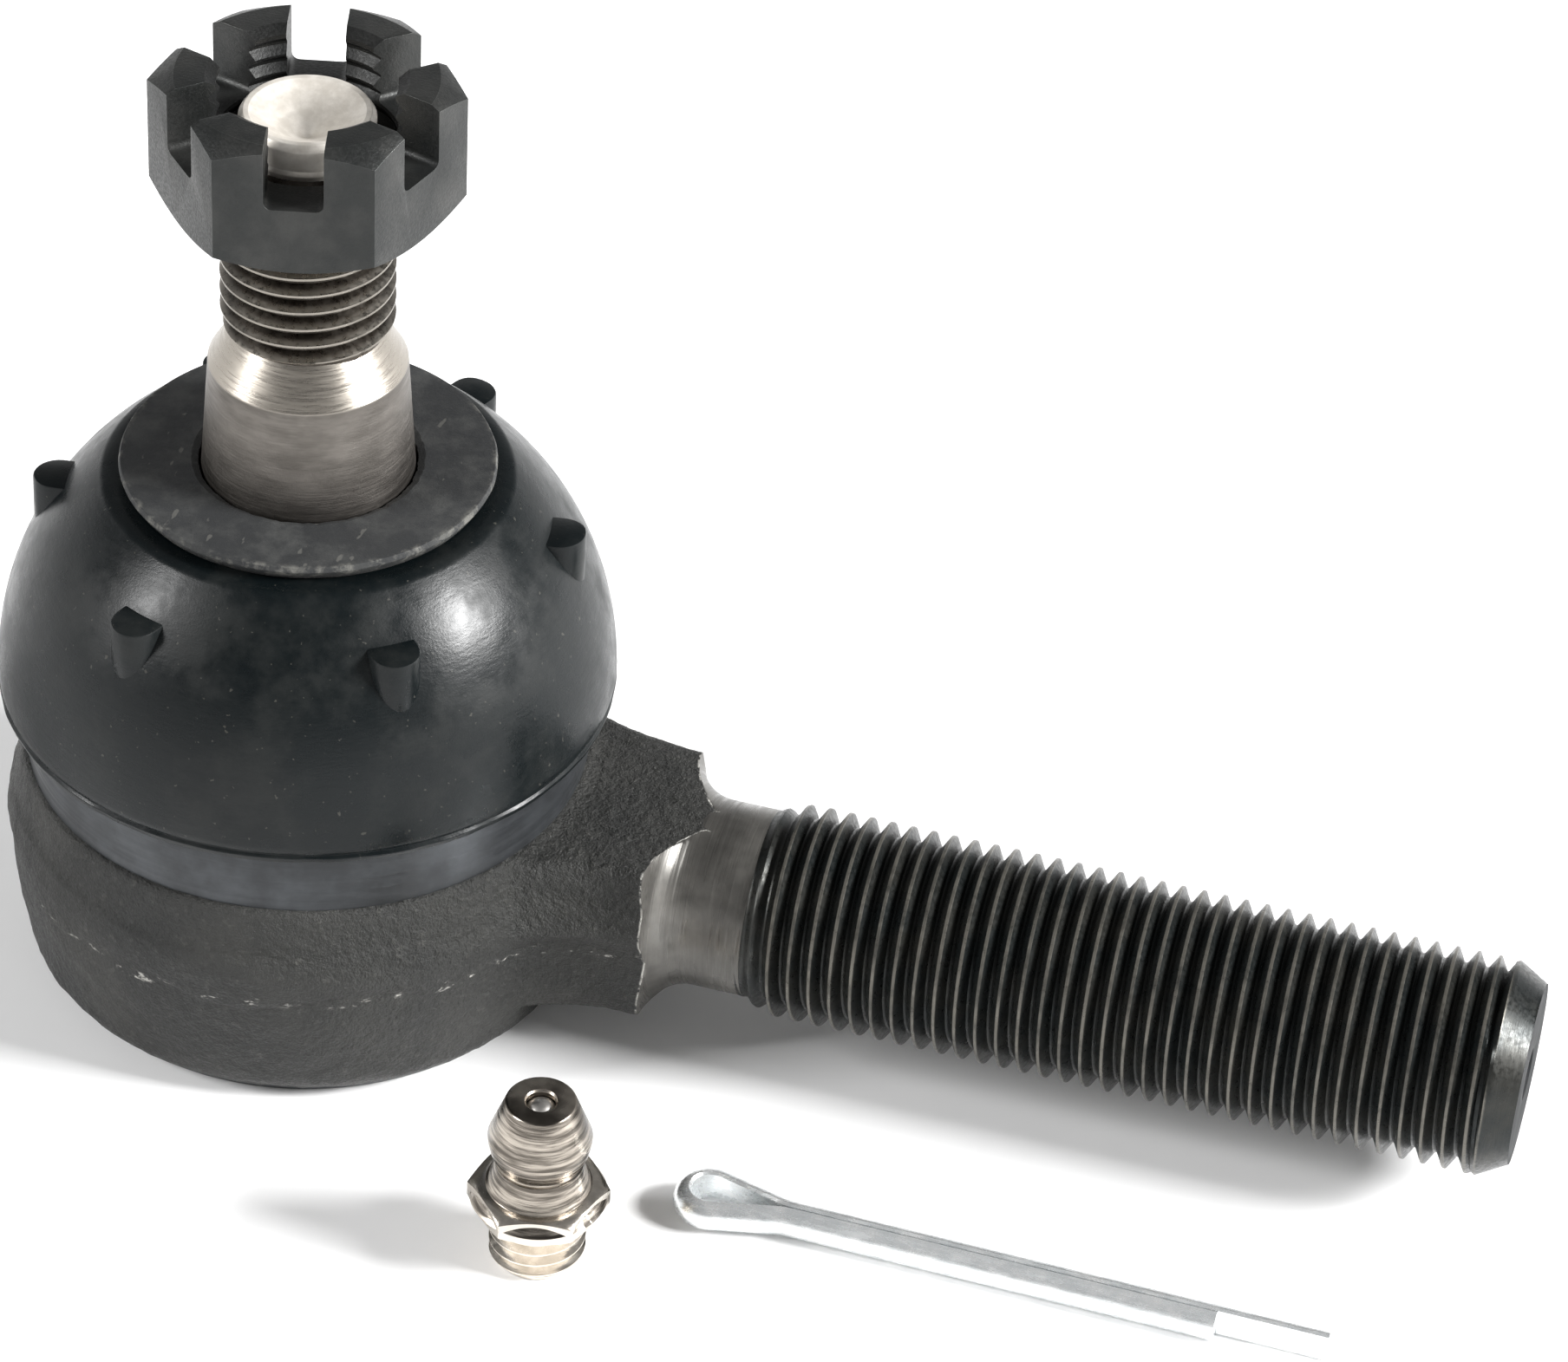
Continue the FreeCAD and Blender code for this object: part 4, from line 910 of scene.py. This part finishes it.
def grease_fitting():
    """Nickel-plated grease fitting: turned head, neck and flare, hexagon and helical thread."""
    neck_z = HEAD_Z - math.sqrt(HEAD ** 2 - FITTING_NECK ** 2)
    low_angle = math.degrees(math.asin((neck_z - HEAD_Z) / HEAD))
    waist = HEX_TOP + 1.85
    flare = arc_points((FITTING_NECK + 3.3, waist), 3.3, 239, 180, 14)
    profile = rounded([(2.2, HEX_LOW + 0.5), (FITTING_FLATS / 2 - 0.03, HEX_TOP - 0.35), flare[0]])
    profile += flare + [(FITTING_NECK - 0.12, waist + 0.06), (FITTING_NECK - 0.12, waist + 0.16),
                        (FITTING_NECK, waist + 0.22)]
    profile += arc_points((0, HEAD_Z), HEAD, low_angle, 0, 24)
    profile += rounded([
        profile[-1], (HEAD_FLAT, FITTING_HIGH, 0.2), (CHECK_MOUTH + 0.12, FITTING_HIGH, 0.1),
        (CHECK_MOUTH, FITTING_HIGH - 0.15, 0.05), (CHECK_MOUTH, FITTING_HIGH - 0.5),
        (1.3, FITTING_HIGH - 1.0),
        (1.3, 0.1), (2.3, 0.0, 0.1), (FITTING_MINOR + 0.1, 0.35), (FITTING_MINOR, 0.6)])[1:]
    head = revolve("fitting_turned", profile, 128)
    nut = prism("fitting_hexagon", hexagon(FITTING_FLATS, FITTING_TURN), HEX_LOW, HEX_TOP)
    half = FITTING_FLATS / 2
    slope = math.tan(math.radians(32))
    limit = revolve("fitting_limit", [
        (0, HEX_LOW), (half, HEX_LOW), (half + 1, HEX_LOW + slope), (half + 1, HEX_TOP - 0.1 - slope),
        (half, HEX_TOP - 0.1), (half - 0.5, HEX_TOP), (0, HEX_TOP)], 96)
    boolean(nut, limit, "INTERSECT")
    soften_edges(nut, 0.05, 2)
    shade(nut, math.radians(24))
    ridge = thread("fitting_thread", 0.05, HEX_LOW + 0.02, FITTING_PITCH, FITTING_MAJOR, FITTING_MINOR,
                   fade=0.7, segments=64)
    centre = (FITTING.x, FITTING.y, 0)
    nickel = plated_material("bright_nickel", (0.64, 0.59, 0.52), (0.80, 0.74, 0.66), (0.08, 0.08, 1),
                             centre, (0.14, 0.28), depth=0.03)
    turned = plated_material("turned_nickel", (0.10, 0.088, 0.075), (0.50, 0.45, 0.39), (0.05, 0.05, 0.8),
                             centre, (0.18, 0.32), depth=0.06, banded=True)
    for part, material in ((head, turned), (nut, nickel), (ridge, nickel)):
        part.data.materials.append(material)
    piece = join("grease_fitting_nickel", [head, nut, ridge])
    shift(piece, (FITTING.x, FITTING.y, FLOOR))
    return finish_piece(piece, "fitting", (), ("grease_fitting",))


def pin_route():
    """Flat-side centre line of the cotter pin, from the short leg's tip round the eye."""
    slope = math.asin(PIN_EYE / PIN_CLOSE)
    touch = Vector((PIN_EYE * math.sin(slope), PIN_EYE * math.cos(slope)))
    cross = touch.x + (touch.y - PIN_GAP) / math.tan(slope)
    ease = PIN_BEND * math.tan(slope / 2)
    upper = [Vector((LONG_LEG, PIN_GAP))]
    for step in range(9):
        angle = slope * step / 8
        upper.append(Vector((cross + ease - PIN_BEND * math.sin(angle),
                             PIN_GAP + PIN_BEND * (1 - math.cos(angle)))))
    upper.append(touch)
    crown = []
    for step in range(1, 24):
        angle = math.pi / 2 - slope + (math.pi + 2 * slope) * step / 24
        crown.append(Vector((PIN_EYE * math.cos(angle), PIN_EYE * math.sin(angle))))
    lower = [Vector((p.x, -p.y)) for p in reversed(upper)]
    lower[-1].x = SHORT_LEG
    return upper + crown + lower


def pin_section():
    """Half-round section as (outward, up), its flat side on the centre line."""
    edge = 0.16
    points = [(0.0, -PIN_RADIUS + edge)]
    for step in range(15):
        angle = math.radians(-82 + 164 * step / 14)
        points.append((PIN_RADIUS * math.cos(angle), PIN_RADIUS * math.sin(angle)))
    points.append((0.0, PIN_RADIUS - edge))
    return points


def cotter_pin():
    """Split pin swept from half-round wire, with its cut tips."""
    route, section = pin_route(), pin_section()
    verts = []
    count = len(route)
    for index, point in enumerate(route):
        along = (route[min(index + 1, count - 1)] - route[max(index - 1, 0)]).normalized()
        outward = Vector((along.y, -along.x))
        verts += [(point.x + outward.x * a, point.y + outward.y * a, b) for a, b in section]
    size = len(section)
    faces = [tuple(range(size)), tuple(range(len(verts) - 1, len(verts) - 1 - size, -1))]
    for row in range(count - 1):
        for k in range(size):
            a, b = row * size + k, row * size + (k + 1) % size
            faces.append((a, b, b + size, a + size))
    piece = make_object("cotter_pin_zinc", verts, faces, smooth=False)
    for index, polygon in enumerate(piece.data.polygons):
        polygon.material_index = 1 if index > 1 and (index - 2) % size == size - 1 else 0
    face_outwards(piece)
    shade(piece, math.radians(40))
    piece.data.transform(Matrix.Rotation(math.radians(PIN_TURN), 4, "Z"))
    shift(piece, PIN_PLACE + Vector((0, 0, FLOOR + PIN_RADIUS)))
    zinc = plated_material("bright_zinc", (0.80, 0.83, 0.84), (0.94, 0.95, 0.95), (0.12, 1, 1),
                           rough=(0.20, 0.32), metallic=0.8)
    blue = plated_material("bright_zinc_blue", (0.50, 0.74, 0.80), (0.72, 0.88, 0.91), (0.12, 1, 1),
                           rough=(0.30, 0.42), metallic=0.5)
    return finish_piece(piece, "pin", (zinc, blue), ("cotter_pin",))


def preload_cone():
    """Conical spring washer that preloads the lower bearing."""
    foot, crest = low("preload_spring").z, high("preload_spring").z
    outer, inner, thick = high("preload_spring").x, 6.9, 0.7
    piece = revolve("preload_cone", rounded([
        (outer, foot, 0.1), (outer, foot + thick, 0.1), (inner, crest, 0.1), (inner, crest - thick, 0.1)],
        closed=True), 128, closed=True)
    face_outwards(piece)
    steel = inner_steel_material("spring_blued_steel", *BLUED)
    finish_piece(piece, "eye", (steel,), ("preload_spring",))
    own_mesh(piece)


def check_coil():
    """Coil spring under the check ball."""
    radius, wire, pitch, foot, length = 0.95, 0.14, 1.1, 1.0, 9.5
    turns, steps, sides = length / pitch, 28, 8
    verts, faces = [], []
    count = int(turns * steps)
    for step in range(count + 1):
        angle = math.tau * step / steps
        for side in range(sides):
            around = math.tau * side / sides
            reach = radius + wire * math.cos(around)
            verts.append((FITTING.x + reach * math.cos(angle), FITTING.y + reach * math.sin(angle),
                          FLOOR + foot + pitch * step / steps + wire * math.sin(around)))
    for step in range(count):
        for side in range(sides):
            a, b = step * sides + side, step * sides + (side + 1) % sides
            faces.append((a, a + sides, b + sides, b))
    faces += [tuple(range(sides)), tuple(range(len(verts) - 1, len(verts) - 1 - sides, -1))]
    piece = make_object("check_coil", verts, faces)
    face_outwards(piece)
    steel = inner_steel_material("coil_blued_steel", *BLUED)
    finish_piece(piece, "fitting", (steel,), ("check_spring",))
    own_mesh(piece)


def carried_over():
    """Materials of the CAD pieces that are kept as they are."""
    bearing = inner_steel_material("bearing_oiled_steel", (0.42, 0.41, 0.39), 0.28)
    plate = inner_steel_material("plate_dark_steel", (0.14, 0.14, 0.135), 0.36)
    bright = inner_steel_material("check_ball_steel", (0.80, 0.77, 0.73), 0.3)
    finishes = {"upper_bearing": bearing, "lower_bearing": bearing, "cover_plate": plate,
                "spring_retainer": plate, "check_ball": bright}
    for node, material in finishes.items():
        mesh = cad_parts[node].data
        mesh.materials.clear()
        mesh.materials.append(material)


# ---- stage, light and camera ---------------------------------------------------------------

def stage():
    """Pale floor just under the part."""
    half = 1500
    floor = make_object("floor", [(-half, -half, FLOOR), (half, -half, FLOOR), (half, half, FLOOR),
                                  (-half, half, FLOOR)], [(0, 1, 2, 3)], smooth=False)
    floor.data.materials.append(floor_material())


def area_light(name, place, target, size, power):
    """A rectangular soft light aimed at a point."""
    data = bpy.data.lights.new(name, "AREA")
    data.shape = "RECTANGLE"
    data.size, data.size_y = size[0] * MM, size[1] * MM
    data.energy = power
    light = bpy.data.objects.new(name, data)
    light.location = Vector(place) * MM
    aim = (Vector(target) - Vector(place)).to_track_quat("-Z", "Y")
    light.rotation_euler = aim.to_euler()
    bpy.context.scene.collection.objects.link(light)


def studio_world():
    """Surround that is bright round the horizon and dim overhead."""
    world = bpy.data.worlds.new("studio")
    world.use_nodes = True
    tree = world.node_tree
    split = tree.nodes.new("ShaderNodeSeparateXYZ")
    ramp = tree.nodes.new("ShaderNodeMapRange")
    ramp.interpolation_type = "SMOOTHSTEP"
    for socket, level in (("From Min", 0.06), ("From Max", 0.42), ("To Min", 1.2), ("To Max", 0.21)):
        ramp.inputs[socket].default_value = level
    tree.links.new(tree.nodes.new("ShaderNodeTexCoord").outputs["Generated"], split.inputs[0])
    tree.links.new(split.outputs["Z"], ramp.inputs["Value"])
    tree.links.new(ramp.outputs[0], tree.nodes["Background"].inputs["Strength"])
    tree.nodes["Background"].inputs["Color"].default_value = (1, 1, 1, 1)
    bpy.context.scene.world = world


def lights():
    """White studio: a soft box on each side."""
    studio_world()
    middle = Vector((20, 0, 15))
    boxes = {"box_left": ((-0.74, -0.43, 0.52), (200, 420), 8.5),
             "box_right": ((0.87, 0.06, 0.49), (360, 300), 27.0)}
    for name, (direction, size, power) in boxes.items():
        area_light(name, middle + Vector(direction).normalized() * 1050, middle, size, power)


def camera():
    """The camera, placed by azimuth, elevation, roll and distance round a target point.
    The camera at the view that the part is judged from.
    """
    azimuth, elevation, roll = math.radians(13.86), math.radians(38.33), math.radians(3.48)
    distance, target = 401.0, Vector((27.86, 18.27, 4.12))
    back = Vector((math.sin(azimuth) * math.cos(elevation), -math.cos(azimuth) * math.cos(elevation),
                   math.sin(elevation)))
    level = Vector((0, 0, 1)).cross(back).normalized()
    upright = back.cross(level)
    right = level * math.cos(roll) + upright * math.sin(roll)
    data = bpy.data.cameras.new("camera")
    data.sensor_width = 36.0
    data.lens = 134.42
    data.clip_start, data.clip_end = 0.01, 10.0
    eye = bpy.data.objects.new("camera", data)
    turn = Matrix((right, back.cross(right), back)).transposed().to_4x4()
    bpy.context.scene.view_settings.view_transform = "Standard"
    eye.matrix_world = Matrix.Translation((target + back * distance) * MM) @ turn
    bpy.context.scene.collection.objects.link(eye)
    bpy.context.scene.camera = eye


forged_body()
turned_housing()
stem_parts()
stud_parts()
castle_nut()
boot()
seal_ring()
grease_fitting()
cotter_pin()
preload_cone()
check_coil()
carried_over()
stage()
lights()
camera()
